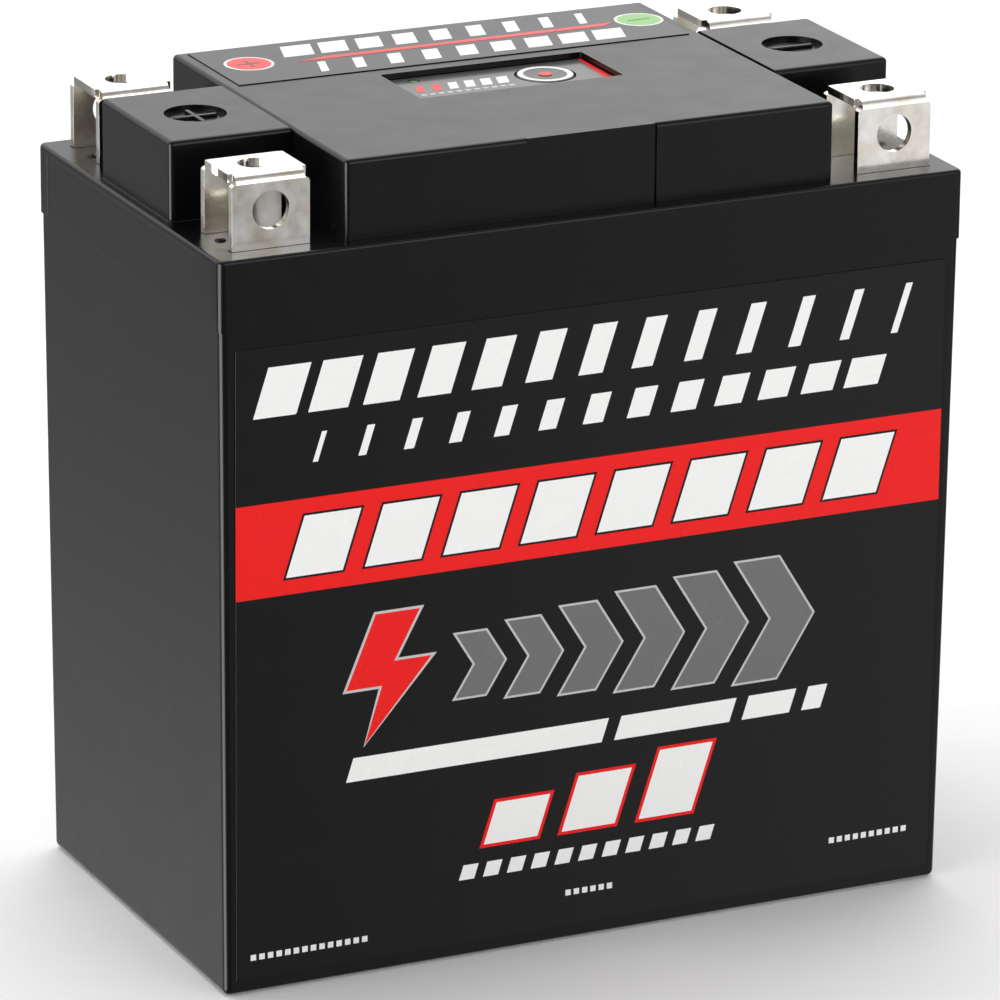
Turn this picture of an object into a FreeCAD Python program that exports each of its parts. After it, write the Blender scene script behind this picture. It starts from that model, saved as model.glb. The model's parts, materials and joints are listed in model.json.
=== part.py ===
"""Sealed 12 V lithium motorcycle battery: a parametric assembly in millimetres.

The origin is the middle of the bottom face. +Z is up, +X points to the negative side and
-Y is the labelled front. Every driving size is a cell of the sheet Sizes, every place that
follows from them is a property of the set Layout, and the pieces are bound to both.
"""
import FreeCAD, Part
import math
import os
import re

import Sketcher

SIZES = [
    # Case
    ("rim_width", 150.0, "lid rim, left to right"),
    ("rim_depth", 86.0, "lid rim, front to back"),
    ("seam_height", 127.6, "bottom face to the seam between case and lid"),
    ("case_inset", 0.3, "case wall set back from the lid rim"),
    ("case_wall", 3.0, "case wall"),
    ("case_floor", 3.0, "case floor"),
    ("draft_angle", 0.35, "draft of the case walls, degrees"),
    ("corner_radius", 1.4, "upright outer edges of case and lid, and the floor edges"),
    # Lid
    ("skirt_height", 13.3, "seam to the deck of the lid"),
    ("lid_wall", 2.4, "lid skirt wall"),
    ("deck_thickness", 3.0, "deck of the lid"),
    ("shelf_thickness", 2.0, "shelf that rests on the case wall"),
    ("tongue_thickness", 2.0, "tongue that enters the case"),
    ("tongue_drop", 6.0, "length of the tongue below the seam"),
    ("tongue_clearance", 0.3, "tongue to case wall"),
    ("rim_radius", 0.7, "upper edge of the lid rim"),
    ("seal_width", 1.4, "groove for the seal"),
    ("seal_depth", 1.0, "depth of the seal groove"),
    ("seal_slack", 0.1, "seal to groove"),
    ("block_rise", 15.05, "deck to the top of the raised blocks"),
    # Ears of the lid, with the polarity marks
    ("ear_margin", 1.9, "lid rim to the outer face of an ear"),
    ("ear_gap", 0.2, "ear to centre cover"),
    ("ear_depth", 32.4, "ear, front to back"),
    ("ear_wall", 2.5, "ear side walls"),
    ("ear_top", 3.0, "ear top wall"),
    ("edge_radius", 0.9, "edges of the raised blocks"),
    ("mark_diameter", 11.5, "round recess of a polarity mark"),
    ("mark_depth", 1.0, "depth of that recess"),
    ("mark_length", 8.4, "raised bar of a polarity mark"),
    ("mark_width", 0.9, "width of that bar"),
    ("mark_height", 0.6, "height of that bar"),
    # Centre cover
    ("cover_side_margin", 25.9, "lid rim to the cover, at the left and right"),
    ("cover_front_margin", 3.1, "lid rim to the cover, at the front and back"),
    ("cover_wall", 2.4, "cover side walls"),
    ("cover_top", 3.4, "cover top wall"),
    ("cover_boss", 7.0, "diameter of the cover bosses"),
    ("cover_boss_inset", 5.2, "boss centre from the cover's outer faces"),
    ("panel_width", 41.5, "button panel recess, left to right"),
    ("panel_depth", 18.0, "button panel recess, front to back"),
    ("panel_shift_across", 1.25, "panel centre from the middle, in X"),
    ("panel_shift_back", 1.6, "panel centre from the middle, in Y"),
    ("panel_recess", 1.4, "depth of the panel recess"),
    # Labels
    ("label_thickness", 0.25, "foil labels"),
    ("label_width", 143.7, "front and rear labels, left to right"),
    ("label_bottom", 3.05, "lower edge of the front label"),
    ("label_top", 124.0, "upper edge of the front label"),
    ("sticker_width", 93.0, "top label, left to right"),
    ("sticker_front", 13.9, "front edge of the top label, in Y"),
    ("sticker_depth", 24.5, "top label, front to back"),
    ("panel_label_gap", 0.4, "panel label to the recess walls"),
    # Terminals
    ("terminal_side_margin", 4.65, "lid rim to the side edge of a terminal"),
    ("terminal_margin", 4.9, "lid rim to the outer face of a terminal"),
    ("strap_width", 15.1, "terminal strap"),
    ("strap_span", 14.1, "outer face to inner face of a terminal"),
    ("strap_thickness", 1.5, "terminal strap"),
    ("strap_bend", 1.9, "outer radius of its bends"),
    ("strap_corner", 0.8, "upper corners of its upright plates"),
    ("terminal_drop", 1.1, "terminal top below the block top"),
    ("neck_depth", 0.9, "relief of a bend, sideways"),
    ("neck_drop", 1.6, "relief bottom below the terminal top"),
    ("side_bolt", 7.2, "bolt hole in the outer plate"),
    ("side_bolt_height", 7.1, "its centre above the deck"),
    ("top_bolt", 6.4, "bolt hole in the top plate"),
    ("top_bolt_inset", 7.05, "its centre behind the outer face"),
    ("slot_clearance", 0.15, "terminal legs to the slots of the lid"),
    ("leg_drop", 3.0, "outer leg below the deck"),
    ("foot_drop", 5.5, "foot underside below the deck"),
    ("foot_length", 12.0, "foot of a terminal, front to back"),
    # Rails and risers
    ("rail_width", 12.0, "copper rail, left to right"),
    ("rail_thickness", 2.0, "copper rail"),
    ("rail_overhang", 6.0, "rail beyond its terminal screw"),
    ("riser_thickness", 1.0, "copper riser"),
    ("riser_width", 12.0, "copper riser, front to back"),
    ("riser_gap", 3.0, "riser wall to the management board"),
    # Cells
    ("cell_diameter", 26.2, "26650 cell"),
    ("cell_height", 65.5, "26650 cell"),
    ("cell_pitch", 27.4, "between cell centres"),
    ("cell_cap", 9.0, "raised positive contact"),
    ("cell_cap_height", 0.6, "raised positive contact"),
    ("cell_edge", 0.8, "rounded sleeve edge"),
    ("holder_ledge", 2.0, "holder plate beyond the cell ends"),
    ("holder_grip", 5.0, "holder around the cell ends"),
    ("holder_wall", 2.4, "holder beyond the outer cells"),
    ("holder_clearance", 0.15, "cell to holder, all round"),
    ("holder_window", 16.0, "window for the weld cup"),
    ("link_thickness", 0.6, "nickel link"),
    ("link_margin", 9.0, "link beyond the cell axes"),
    ("link_tab", 12.0, "tab of the end links, front to back"),
    ("weld_cup", 12.0, "weld cup of a link"),
    # Management board
    ("board_rise", 12.0, "board above the upper holder"),
    ("board_side_inset", 4.6, "board inside the holder, at the left and right"),
    ("board_overhang", 0.8, "board beyond the holder, at the front and back"),
    ("board_thickness", 1.6, "both circuit boards"),
    ("board_screw_inset", 3.2, "board screws from the board and holder edges"),
    ("standoff_diameter", 6.0, "board standoffs"),
    ("chip_width", 10.0, "power transistor, left to right"),
    ("chip_depth", 9.0, "power transistor, front to back"),
    ("chip_height", 4.5, "power transistor"),
    ("chip_pitch", 15.0, "between power transistors"),
    ("spreader_width", 66.0, "aluminium heat spreader"),
    ("spreader_depth", 32.0, "aluminium heat spreader"),
    ("spreader_thickness", 3.0, "aluminium heat spreader"),
    ("capacitor_diameter", 8.0, "capacitor"),
    ("capacitor_height", 11.5, "capacitor"),
    ("capacitor_back", 23.0, "capacitors behind the middle"),
    ("capacitor_offset", 30.0, "first capacitor from the middle"),
    ("capacitor_pitch", 10.0, "between capacitors"),
    ("shunt_width", 14.0, "shunt strip"),
    ("shunt_depth", 5.0, "shunt strip"),
    ("shunt_height", 3.0, "shunt strip"),
    ("shunt_thickness", 0.8, "shunt strip"),
    ("feed_width", 3.0, "copper feed post under the board"),
    ("connector_width", 12.0, "flex connectors"),
    ("connector_depth", 5.0, "flex connectors"),
    ("connector_height", 5.0, "flex connectors on the management board"),
    ("flex_thickness", 0.4, "flat flexes"),
    ("flex_width", 8.0, "flat flexes"),
    ("flex_front", 24.0, "button flex in front of the middle"),
    ("flex_slot_clearance", 1.0, "button flex to its slot in the deck"),
    ("flex_overhang", 1.6, "balance flex behind the board"),
    ("flex_rest", 10.0, "balance flex lying on the middle link"),
    # Button and switch
    ("button_shift_across", 9.35, "button centre from the panel centre, in X"),
    ("button_shift_back", 0.8, "button centre from the panel centre, in Y"),
    ("button_diameter", 11.0, "button cap"),
    ("button_clearance", 0.3, "button cap to cover and label, all round"),
    ("button_proud", 0.15, "cap above the panel label"),
    ("button_flange", 13.4, "flange that holds the cap in"),
    ("button_flange_thickness", 1.2, "flange that holds the cap in"),
    ("button_flange_gap", 0.1, "flange below the cover at rest"),
    ("button_stem", 5.0, "stem under the cap"),
    ("button_stem_length", 2.4, "stem under the flange"),
    ("button_travel", 0.5, "stroke of the button"),
    ("plunger_diameter", 3.2, "switch plunger"),
    ("plunger_length", 3.0, "switch plunger"),
    ("plunger_clearance", 0.3, "plunger to housing"),
    ("plunger_lift", 1.2, "plunger above the housing"),
    ("switch_width", 6.2, "switch housing, square"),
    ("switch_height", 3.0, "switch housing"),
    ("switch_floor", 0.4, "housing under the plunger"),
    ("button_board_width", 45.0, "button board, left to right"),
    ("button_board_depth", 20.0, "button board, front to back"),
    ("button_boss", 5.0, "bosses that carry the button board"),
    ("button_boss_across", 19.5, "those bosses from the panel centre, in X"),
    ("button_boss_back", 7.0, "those bosses from the panel centre, in Y"),
    ("button_connector_height", 1.6, "connector under the button board"),
    ("led_inset_across", 5.8, "status light from the left end of the panel"),
    ("led_inset_back", 2.4, "status light from the rear edge of the panel"),
    ("led_diameter", 2.0, "light pipe"),
    ("led_clearance", 0.1, "light pipe to its hole"),
    ("led_chip", 3.0, "light-emitting chip, square"),
    ("led_chip_height", 1.0, "light-emitting chip"),
    # Screws
    ("small_shank", 2.2, "board screw shank"),
    ("small_head", 4.2, "board screw head"),
    ("small_head_height", 1.5, "board screw head"),
    ("small_length", 5.0, "board screw shank length"),
    ("cover_shank", 3.0, "cover screw shank"),
    ("cover_head", 5.6, "cover screw head"),
    ("cover_head_height", 2.0, "cover screw head"),
    ("cover_screw_length", 11.0, "cover screw shank length"),
    ("rail_shank", 4.0, "rail screw shank"),
    ("rail_head", 7.0, "rail screw head"),
    ("rail_head_height", 2.6, "rail screw head"),
    ("rod_diameter", 4.0, "tie rod"),
    ("rod_head", 7.0, "tie rod head"),
    ("rod_head_height", 2.4, "tie rod head"),
    ("screw_slack", 0.1, "screw to its hole, all round"),
    # Foam
    ("foam_base_height", 9.4, "foam under the cells"),
    ("foam_slack", 0.3, "side foam to case and holders"),
    ("foam_top_width", 44.0, "foam over the heat spreader, left to right"),
    ("foam_top_depth", 24.0, "foam over the heat spreader, front to back"),
]

LAYOUT = [
    ("half_width", "rim_width / 2"),
    ("half_depth", "rim_depth / 2"),
    ("deck_level", "seam_height + skirt_height"),
    ("deck_under", "deck_level - deck_thickness"),
    ("block_level", "deck_level + block_rise"),
    ("case_half_width", "half_width - case_inset"),
    ("case_half_depth", "half_depth - case_inset"),
    ("bore_half_width", "case_half_width - case_wall"),
    ("bore_half_depth", "case_half_depth - case_wall"),
    ("floor_draw", "(seam_height - case_floor) * tan(draft_angle)"),
    ("foot_half_width", "bore_half_width - floor_draw"),
    ("foot_half_depth", "bore_half_depth - floor_draw"),
    ("tongue_half_width", "bore_half_width - tongue_clearance"),
    ("tongue_half_depth", "bore_half_depth - tongue_clearance"),
    ("label_bottom_face", "case_half_depth - (seam_height - label_bottom) * tan(draft_angle)"),
    ("label_top_face", "case_half_depth - (seam_height - label_top) * tan(draft_angle)"),
    ("cover_half_width", "half_width - cover_side_margin"),
    ("cover_half_depth", "half_depth - cover_front_margin"),
    ("ear_inner", "cover_half_width + ear_gap"),
    ("ear_outer", "half_width - ear_margin"),
    ("mark_offset", "(ear_inner + ear_outer) / 2"),
    ("mark_floor", "block_level - mark_depth"),
    ("cover_under", "block_level - cover_top"),
    ("panel_floor", "block_level - panel_recess"),
    ("cover_boss_across", "cover_half_width - cover_boss_inset"),
    ("cover_boss_back", "cover_half_depth - cover_boss_inset"),
    ("terminal_offset", "half_width - terminal_side_margin - strap_width / 2"),
    ("strap_outer", "half_depth - terminal_margin"),
    ("strap_inner", "strap_outer - strap_span"),
    ("strap_level", "block_level - terminal_drop"),
    ("foot_end", "strap_inner - foot_length"),
    ("foot_under", "deck_under - foot_drop"),
    ("rail_screw_back", "(strap_inner + foot_end) / 2"),
    ("rail_under", "foot_under - rail_thickness"),
    ("riser_end", "terminal_offset + rail_width / 2"),
    ("holder_half_width", "1.5 * cell_pitch + cell_diameter / 2 + holder_wall"),
    ("holder_half_depth", "0.5 * cell_pitch + cell_diameter / 2 + holder_wall"),
    ("lower_link_under", "case_floor + foam_base_height"),
    ("holder_under", "lower_link_under + link_thickness"),
    ("cell_bottom", "holder_under + holder_ledge"),
    ("cell_level", "cell_bottom + cell_height"),
    ("holder_level", "cell_level + holder_ledge"),
    ("upper_link_level", "holder_level + link_thickness"),
    ("board_half_width", "holder_half_width - board_side_inset"),
    ("board_half_depth", "holder_half_depth + board_overhang"),
    ("riser_wall", "board_half_width + riser_gap"),
    ("board_under", "holder_level + board_rise"),
    ("board_level", "board_under + board_thickness"),
    ("chip_level", "board_level + chip_height"),
    ("spreader_level", "chip_level + spreader_thickness"),
    ("board_screw_across", "board_half_width - board_screw_inset"),
    ("board_screw_back", "holder_half_depth - board_screw_inset"),
    ("button_across", "panel_shift_across + button_shift_across"),
    ("button_back", "panel_shift_back + button_shift_back"),
    ("led_across", "panel_shift_across - panel_width / 2 + led_inset_across"),
    ("led_back", "panel_shift_back + panel_depth / 2 - led_inset_back"),
    ("button_flange_level", "cover_under - button_flange_gap"),
    ("button_flange_under", "button_flange_level - button_flange_thickness"),
    ("button_stem_end", "button_flange_under - button_stem_length"),
    ("button_cap_level", "panel_floor + label_thickness + button_proud"),
    ("switch_level", "button_stem_end - plunger_lift"),
    ("button_board_level", "switch_level - switch_height"),
    ("button_board_under", "button_board_level - board_thickness"),
    ("button_connector_under", "button_board_under - button_connector_height"),
    ("button_flex_level", "button_board_under - button_connector_height / 2"),
    ("button_board_front", "panel_shift_back - button_board_depth / 2"),
    ("balance_front", "board_half_depth - connector_depth"),
    ("balance_flex_level", "board_level + connector_height / 2"),
]

CELL_COLUMNS = 4
CELL_ROWS = 2
CHIP_COLUMNS = 4
CHIP_ROWS = 2
CAPACITORS = 3
SIDES = (-1, 1)
LEAST_CUT = 0.01

document = FreeCAD.newDocument("motorcycle_battery")
places = {}
pieces = []


def fill_sheet():
    """Write the driving sizes into the sheet, one row each, as plain numbers."""
    sheet = document.addObject("Spreadsheet::Sheet", "Sizes")
    for row, (alias, value, meaning) in enumerate(SIZES, start=1):
        sheet.set(f"A{row}", meaning)
        sheet.set(f"B{row}", str(value))
        sheet.setAlias(f"B{row}", alias)
        places[alias] = f"Sizes.{alias}"
    document.recompute()


def fill_layout():
    """Work out the places that follow from the sizes."""
    layout = document.addObject("App::VarSet", "Layout")
    for name, expression in LAYOUT:
        layout.addProperty("App::PropertyFloat", name, "Layout")
        layout.setExpression(name, qualified(expression))
        places[name] = f"Layout.{name}"
    document.recompute()


def qualified(expression):
    """Put the name of the sheet or of the layout in front of each of their names."""
    return re.sub(r"[a-z][a-z_]*", lambda found: places.get(found[0], found[0]), str(expression))


def bind(thing, target, expression):
    """Bind one property to an expression of sizes and layout names."""
    thing.setExpression(target, qualified(expression))


def signed(side, expression):
    """The expression on one side of the middle."""
    return f"{side} * ({expression})"


def span(side, near, far):
    """Lower and upper end, in that order, of a stretch on one side of the middle."""
    ends = (signed(side, near), signed(side, far))
    return ends if side > 0 else ends[::-1]


def keep(thing, label):
    """Give a finished piece its label and list it for export."""
    thing.Label = label
    pieces.append(thing)
    return thing


# Sketches and features of a body -----------------------------------------------------------


def new_body(name):
    """A body to build one piece in."""
    return document.addObject("PartDesign::Body", name)


def new_sketch(body, role, offset):
    """A sketch on an origin plane of the body, moved along that plane's normal."""
    sketch = body.newObject("Sketcher::SketchObject", "Sketch")
    plane = next(feature for feature in body.Origin.OriginFeatures if feature.Role == role)
    sketch.AttachmentSupport = (plane, [""])
    sketch.MapMode = "FlatFace"
    bind(sketch, "AttachmentOffset.Base.z", offset)
    return sketch


def constrain(sketch, kind, geometry, point, expression):
    """Add one constraint that is driven by an expression."""
    if point is None:
        rule = Sketcher.Constraint(kind, geometry, 1.0)
    else:
        rule = Sketcher.Constraint(kind, geometry, point, 1.0)
    index = sketch.addConstraint(rule)
    sketch.setExpression(f"Constraints[{index}]", qualified(expression))


def add_polygon(sketch, points):
    """Draw a closed outline whose corners are pairs of expressions."""
    first = sketch.GeometryCount
    count = len(points)
    corners = []
    for number in range(count):
        turn = 2 * math.pi * number / count
        corners.append(FreeCAD.Vector(math.cos(turn), math.sin(turn), 0))
    for number in range(count):
        sketch.addGeometry(Part.LineSegment(corners[number], corners[(number + 1) % count]))
    for number in range(count):
        following = first + (number + 1) % count
        sketch.addConstraint(Sketcher.Constraint("Coincident", first + number, 2, following, 1))
    for number, (across, up) in enumerate(points):
        constrain(sketch, "DistanceX", first + number, 1, across)
        constrain(sketch, "DistanceY", first + number, 1, up)


def add_rectangle(sketch, left, right, low, high):
    """Draw a rectangle between expressions."""
    add_polygon(sketch, [(left, low), (right, low), (right, high), (left, high)])


def add_centred(sketch, half_across, half_up):
    """Draw a rectangle about the middle of the sketch."""
    add_rectangle(sketch, f"-({half_across})", half_across, f"-({half_up})", half_up)


def add_circle(sketch, across, up, diameter):
    """Draw a circle about a point given as expressions."""
    index = sketch.addGeometry(Part.Circle(FreeCAD.Vector(1, 1, 0), FreeCAD.Vector(0, 0, 1), 1))
    constrain(sketch, "DistanceX", index, 3, across)
    constrain(sketch, "DistanceY", index, 3, up)
    constrain(sketch, "Diameter", index, None, diameter)


def add_pad(body, sketch, length, reverse=False, taper=None, middle=False):
    """Raise a sketch into a solid."""
    pad = body.newObject("PartDesign::Pad", "Pad")
    pad.Profile = sketch
    pad.Reversed = reverse
    pad.Midplane = middle
    bind(pad, "Length", length)
    if taper:
        bind(pad, "TaperAngle", taper)
    document.recompute()
    return pad


def add_pocket(body, sketch, length, upward=False, taper=None, middle=False):
    """Cut a sketch out of the solid, downward along the sketch normal unless told otherwise."""
    before = body.Shape.Volume
    pocket = body.newObject("PartDesign::Pocket", "Pocket")
    pocket.Profile = sketch
    pocket.Reversed = upward
    pocket.Midplane = middle
    bind(pocket, "Length", length)
    if taper:
        bind(pocket, "TaperAngle", taper)
    document.recompute()
    if body.Shape.Volume > before - LEAST_CUT:
        raise RuntimeError(f"{body.Name}: {pocket.Name} cuts nothing")
    return pocket


def add_fillet(body, base, radius, wanted):
    """Round the edges of a feature that the test picks out."""
    names = []
    for number, edge in enumerate(base.Shape.Edges, start=1):
        if wanted(edge):
            names.append(f"Edge{number}")
    fillet = body.newObject("PartDesign::Fillet", "Fillet")
    fillet.Base = (base, names)
    bind(fillet, "Radius", radius)
    document.recompute()
    return fillet


def value(name):
    """Present value of a size or of a layout name."""
    owner, field = places[name].split(".")
    return float(getattr(document.getObject(owner), field))


def is_upright(edge):
    """Straight edge that runs mostly along Z."""
    box = edge.BoundBox
    return box.ZLength > 3 * max(box.XLength, box.YLength, 0.01)


def is_level_at(height):
    """Test for an edge that lies flat at a height."""
    def test(edge):
        box = edge.BoundBox
        return box.ZLength < 0.001 and abs(box.ZMin - height) < 0.001
    return test


def runs_along_x(edge):
    """Straight edge along X."""
    box = edge.BoundBox
    return max(box.YLength, box.ZLength) < 0.001 < box.XLength


# Simple solids -------------------------------------------------------------------------------


def add_block(name, across, back, up):
    """A box between three pairs of expressions."""
    block = document.addObject("Part::Box", name)
    for size, axis, (low, high) in zip(("Length", "Width", "Height"), "xyz", (across, back, up)):
        bind(block, size, f"({high}) - ({low})")
        bind(block, f"Placement.Base.{axis}", low)
    return block


def add_rod(name, diameter, across, back, up):
    """An upright cylinder between two heights."""
    rod = document.addObject("Part::Cylinder", name)
    low, high = up
    bind(rod, "Radius", f"({diameter}) / 2")
    bind(rod, "Height", f"({high}) - ({low})")
    bind(rod, "Placement.Base.x", across)
    bind(rod, "Placement.Base.y", back)
    bind(rod, "Placement.Base.z", low)
    return rod


def add_fuse(name, shapes):
    """One solid from several that meet."""
    fuse = document.addObject("Part::MultiFuse", name)
    fuse.Shapes = shapes
    document.recompute()
    return fuse


def add_cut(name, base, tool):
    """One solid less another."""
    cut = document.addObject("Part::Cut", name)
    cut.Base = base
    cut.Tool = tool
    document.recompute()
    return cut


def add_group(name, solids):
    """A group of separate solids that share one node."""
    group = document.addObject("Part::Compound", name)
    group.Links = solids
    document.recompute()
    return keep(group, name)


def add_screw(kind, across, back, seat, length, upward=False):
    """A cap screw whose head rests on the seat, with its shank down or up from there."""
    if upward:
        head_span = (f"({seat}) - {kind}_head_height", seat)
        shank_span = (seat, f"({seat}) + ({length})")
        socket_span = (head_span[0], f"({seat}) - {kind}_head_height * 0.4")
    else:
        head_span = (seat, f"({seat}) + {kind}_head_height")
        shank_span = (f"({seat}) - ({length})", seat)
        socket_span = (f"({seat}) + {kind}_head_height * 0.4", head_span[1])
    head = add_rod("Head", f"{kind}_head", across, back, head_span)
    shank = add_rod("Shank", f"{kind}_shank", across, back, shank_span)
    socket = document.addObject("Part::Prism", "Socket")
    socket.Polygon = 6
    bind(socket, "Circumradius", f"{kind}_head * 0.29")
    bind(socket, "Height", f"({socket_span[1]}) - ({socket_span[0]})")
    bind(socket, "Placement.Base.x", across)
    bind(socket, "Placement.Base.y", back)
    bind(socket, "Placement.Base.z", socket_span[0])
    return add_cut("Screw", add_fuse("ScrewBlank", [head, shank]), socket)


# Housing -------------------------------------------------------------------------------------


def make_case():
    """The drafted tub."""
    body = new_body("Case")
    outline = new_sketch(body, "XY_Plane", "seam_height")
    add_centred(outline, "case_half_width", "case_half_depth")
    tub = add_pad(body, outline, "seam_height", reverse=True, taper="-draft_angle")
    add_fillet(body, tub, "corner_radius", lambda edge: is_upright(edge) or is_level_at(0)(edge))
    bore = new_sketch(body, "XY_Plane", "seam_height")
    add_centred(bore, "bore_half_width", "bore_half_depth")
    add_pocket(body, bore, "seam_height - case_floor", taper="-draft_angle")
    keep(body, "battery_case")


def make_lid():
    """The lid: skirt, deck, tongue, ears with polarity marks, and the terminal slots."""
    body = new_body("Lid")
    outline = new_sketch(body, "XY_Plane", "seam_height")
    add_centred(outline, "half_width", "half_depth")
    skirt = add_pad(body, outline, "skirt_height")
    rounded = add_fillet(body, skirt, "corner_radius", is_upright)
    add_fillet(body, rounded, "rim_radius", is_level_at(value("deck_level")))
    cut_lid_cavity(body)
    add_tongue(body)
    add_ears(body)
    add_polarity_marks(body)
    cut_lid_slots(body)
    keep(body, "lid")


def cut_lid_cavity(body):
    """Hollow the skirt and leave the shelf that rests on the case wall."""
    mouth = new_sketch(body, "XY_Plane", "seam_height")
    across = "tongue_half_width - tongue_thickness"
    back = "tongue_half_depth - tongue_thickness"
    add_centred(mouth, across, back)
    add_pocket(body, mouth, "skirt_height - deck_thickness", upward=True)
    room = new_sketch(body, "XY_Plane", "seam_height + shelf_thickness")
    add_centred(room, "half_width - lid_wall", "half_depth - lid_wall")
    add_pocket(body, room, "skirt_height - deck_thickness - shelf_thickness", upward=True)


def add_tongue(body):
    """The tongue that enters the case, and the groove for the seal beside it."""
    ring = new_sketch(body, "XY_Plane", "seam_height")
    add_centred(ring, "tongue_half_width", "tongue_half_depth")
    across = "tongue_half_width - tongue_thickness"
    back = "tongue_half_depth - tongue_thickness"
    add_centred(ring, across, back)
    add_pad(body, ring, "tongue_drop", reverse=True)
    groove = new_sketch(body, "XY_Plane", "seam_height")
    draw_seal_ring(groove, "0")
    add_pocket(body, groove, "seal_depth", upward=True)


def draw_seal_ring(sketch, slack):
    """The ring of the seal, on the middle of the case wall."""
    for half in (f"(seal_width / 2 - {slack})", f"-(seal_width / 2 - {slack})"):
        across = f"case_half_width - case_wall / 2 + {half}"
        back = f"case_half_depth - case_wall / 2 + {half}"
        add_centred(sketch, across, back)


def add_ears(body):
    """The two raised blocks beside the centre cover, hollow from below."""
    ears = new_sketch(body, "XY_Plane", "deck_level")
    for side in SIDES:
        left, right = span(side, "ear_inner", "ear_outer")
        add_rectangle(ears, left, right, "-ear_depth / 2", "ear_depth / 2")
    raised = add_pad(body, ears, "block_rise")
    level = value("block_level")
    inner = value("ear_inner")

    def wanted(edge):
        box = edge.BoundBox
        outer = min(abs(box.XMin), abs(box.XMax)) > inner + 1
        above = box.ZMax > level - 0.001
        top = box.ZLength < 0.001
        return above and (top or outer) and not (top and box.YLength > 1 and not outer)

    add_fillet(body, raised, "edge_radius", wanted)
    hollows = new_sketch(body, "XY_Plane", "deck_under")
    for side in SIDES:
        left, right = span(side, "ear_inner + ear_wall", "ear_outer - ear_wall")
        back = "ear_depth / 2 - ear_wall"
        add_rectangle(hollows, left, right, f"-({back})", back)
    add_pocket(body, hollows, "deck_thickness + block_rise - ear_top", upward=True)


def add_polarity_marks(body):
    """A round recess in each ear, with a raised plus on the left and a minus on the right."""
    recess = new_sketch(body, "XY_Plane", "block_level")
    for side in SIDES:
        add_circle(recess, signed(side, "mark_offset"), "0", "mark_diameter")
    add_pocket(body, recess, "mark_depth")
    bars = new_sketch(body, "XY_Plane", "mark_floor")
    for side in SIDES:
        middle = signed(side, "mark_offset")
        left = f"{middle} - mark_length / 2"
        right = f"{middle} + mark_length / 2"
        add_rectangle(bars, left, right, "-mark_width / 2", "mark_width / 2")
    add_pad(body, bars, "mark_height")
    upright = new_sketch(body, "XY_Plane", "mark_floor")
    left = "-mark_offset - mark_width / 2"
    right = "-mark_offset + mark_width / 2"
    add_rectangle(upright, left, right, "-mark_length / 2", "mark_length / 2")
    add_pad(body, upright, "mark_height")


def cut_lid_slots(body):
    """Slots for the terminal legs and the button flex, and holes for the cover screws."""
    slots = new_sketch(body, "XY_Plane", "deck_level")
    for across_side in SIDES:
        near = "terminal_offset - strap_width / 2 - slot_clearance"
        far = "terminal_offset + strap_width / 2 + slot_clearance"
        left, right = span(across_side, near, far)
        for back_side in SIDES:
            for face in ("strap_outer - strap_thickness", "strap_inner"):
                low, high = span(back_side, f"{face} - slot_clearance",
                                 f"{face} + strap_thickness + slot_clearance")
                add_rectangle(slots, left, right, low, high)
    half = "flex_width / 2 + flex_slot_clearance"
    add_rectangle(slots, f"-({half})", half, "-flex_front - flex_slot_clearance",
                  "-flex_front + flex_thickness + flex_slot_clearance")
    add_pocket(body, slots, "deck_thickness")
    holes = new_sketch(body, "XY_Plane", "deck_level")
    for across, back in cover_boss_places():
        add_circle(holes, across, back, "cover_shank + 2 * screw_slack")
    add_pocket(body, holes, "deck_thickness")


def cover_boss_places():
    """Centres of the four bosses of the cover."""
    return [(signed(across_side, "cover_boss_across"), signed(back_side, "cover_boss_back"))
            for across_side in SIDES for back_side in SIDES]


def make_seal():
    """The seal ring between lid and case wall."""
    body = new_body("Seal")
    ring = new_sketch(body, "XY_Plane", "seam_height")
    draw_seal_ring(ring, "seal_slack")
    add_pad(body, ring, "seal_depth - seal_slack")
    keep(body, "lid_seal")


def button_boss_places():
    """Centres of the bosses that carry the button board."""
    return [(f"panel_shift_across + {across_side} * button_boss_across",
             f"panel_shift_back + {back_side} * button_boss_back")
            for across_side in SIDES for back_side in SIDES]


def make_cover():
    """The centre cover: a hollow block with the panel recess, screw bosses and holes."""
    body = new_body("Cover")
    outline = new_sketch(body, "XY_Plane", "deck_level")
    add_centred(outline, "cover_half_width", "cover_half_depth")
    block = add_pad(body, outline, "block_rise")
    level = value("block_level")
    add_fillet(body, block, "edge_radius",
               lambda edge: is_upright(edge) or is_level_at(level)(edge))
    room = new_sketch(body, "XY_Plane", "deck_level")
    add_centred(room, "cover_half_width - cover_wall", "cover_half_depth - cover_wall")
    add_pocket(body, room, "block_rise - cover_top", upward=True)
    add_cover_bosses(body)
    cut_panel(body)
    keep(body, "centre_cover")


def add_cover_bosses(body):
    """Bosses for the cover screws and for the button board."""
    bosses = new_sketch(body, "XY_Plane", "cover_under")
    for across, back in cover_boss_places():
        add_circle(bosses, across, back, "cover_boss")
    add_pad(body, bosses, "block_rise - cover_top", reverse=True)
    short_bosses = new_sketch(body, "XY_Plane", "cover_under")
    for across, back in button_boss_places():
        add_circle(short_bosses, across, back, "button_boss")
    add_pad(body, short_bosses, "cover_under - button_board_level", reverse=True)
    bores = new_sketch(body, "XY_Plane", "deck_level")
    for across, back in cover_boss_places():
        add_circle(bores, across, back, "cover_shank + 2 * screw_slack")
    depth = "cover_screw_length - deck_thickness + screw_slack"
    add_pocket(body, bores, depth, upward=True)
    short_bores = new_sketch(body, "XY_Plane", "button_board_level")
    for across, back in button_boss_places():
        add_circle(short_bores, across, back, "small_shank + 2 * screw_slack")
    depth = "small_length - board_thickness + screw_slack"
    add_pocket(body, short_bores, depth, upward=True)


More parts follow.
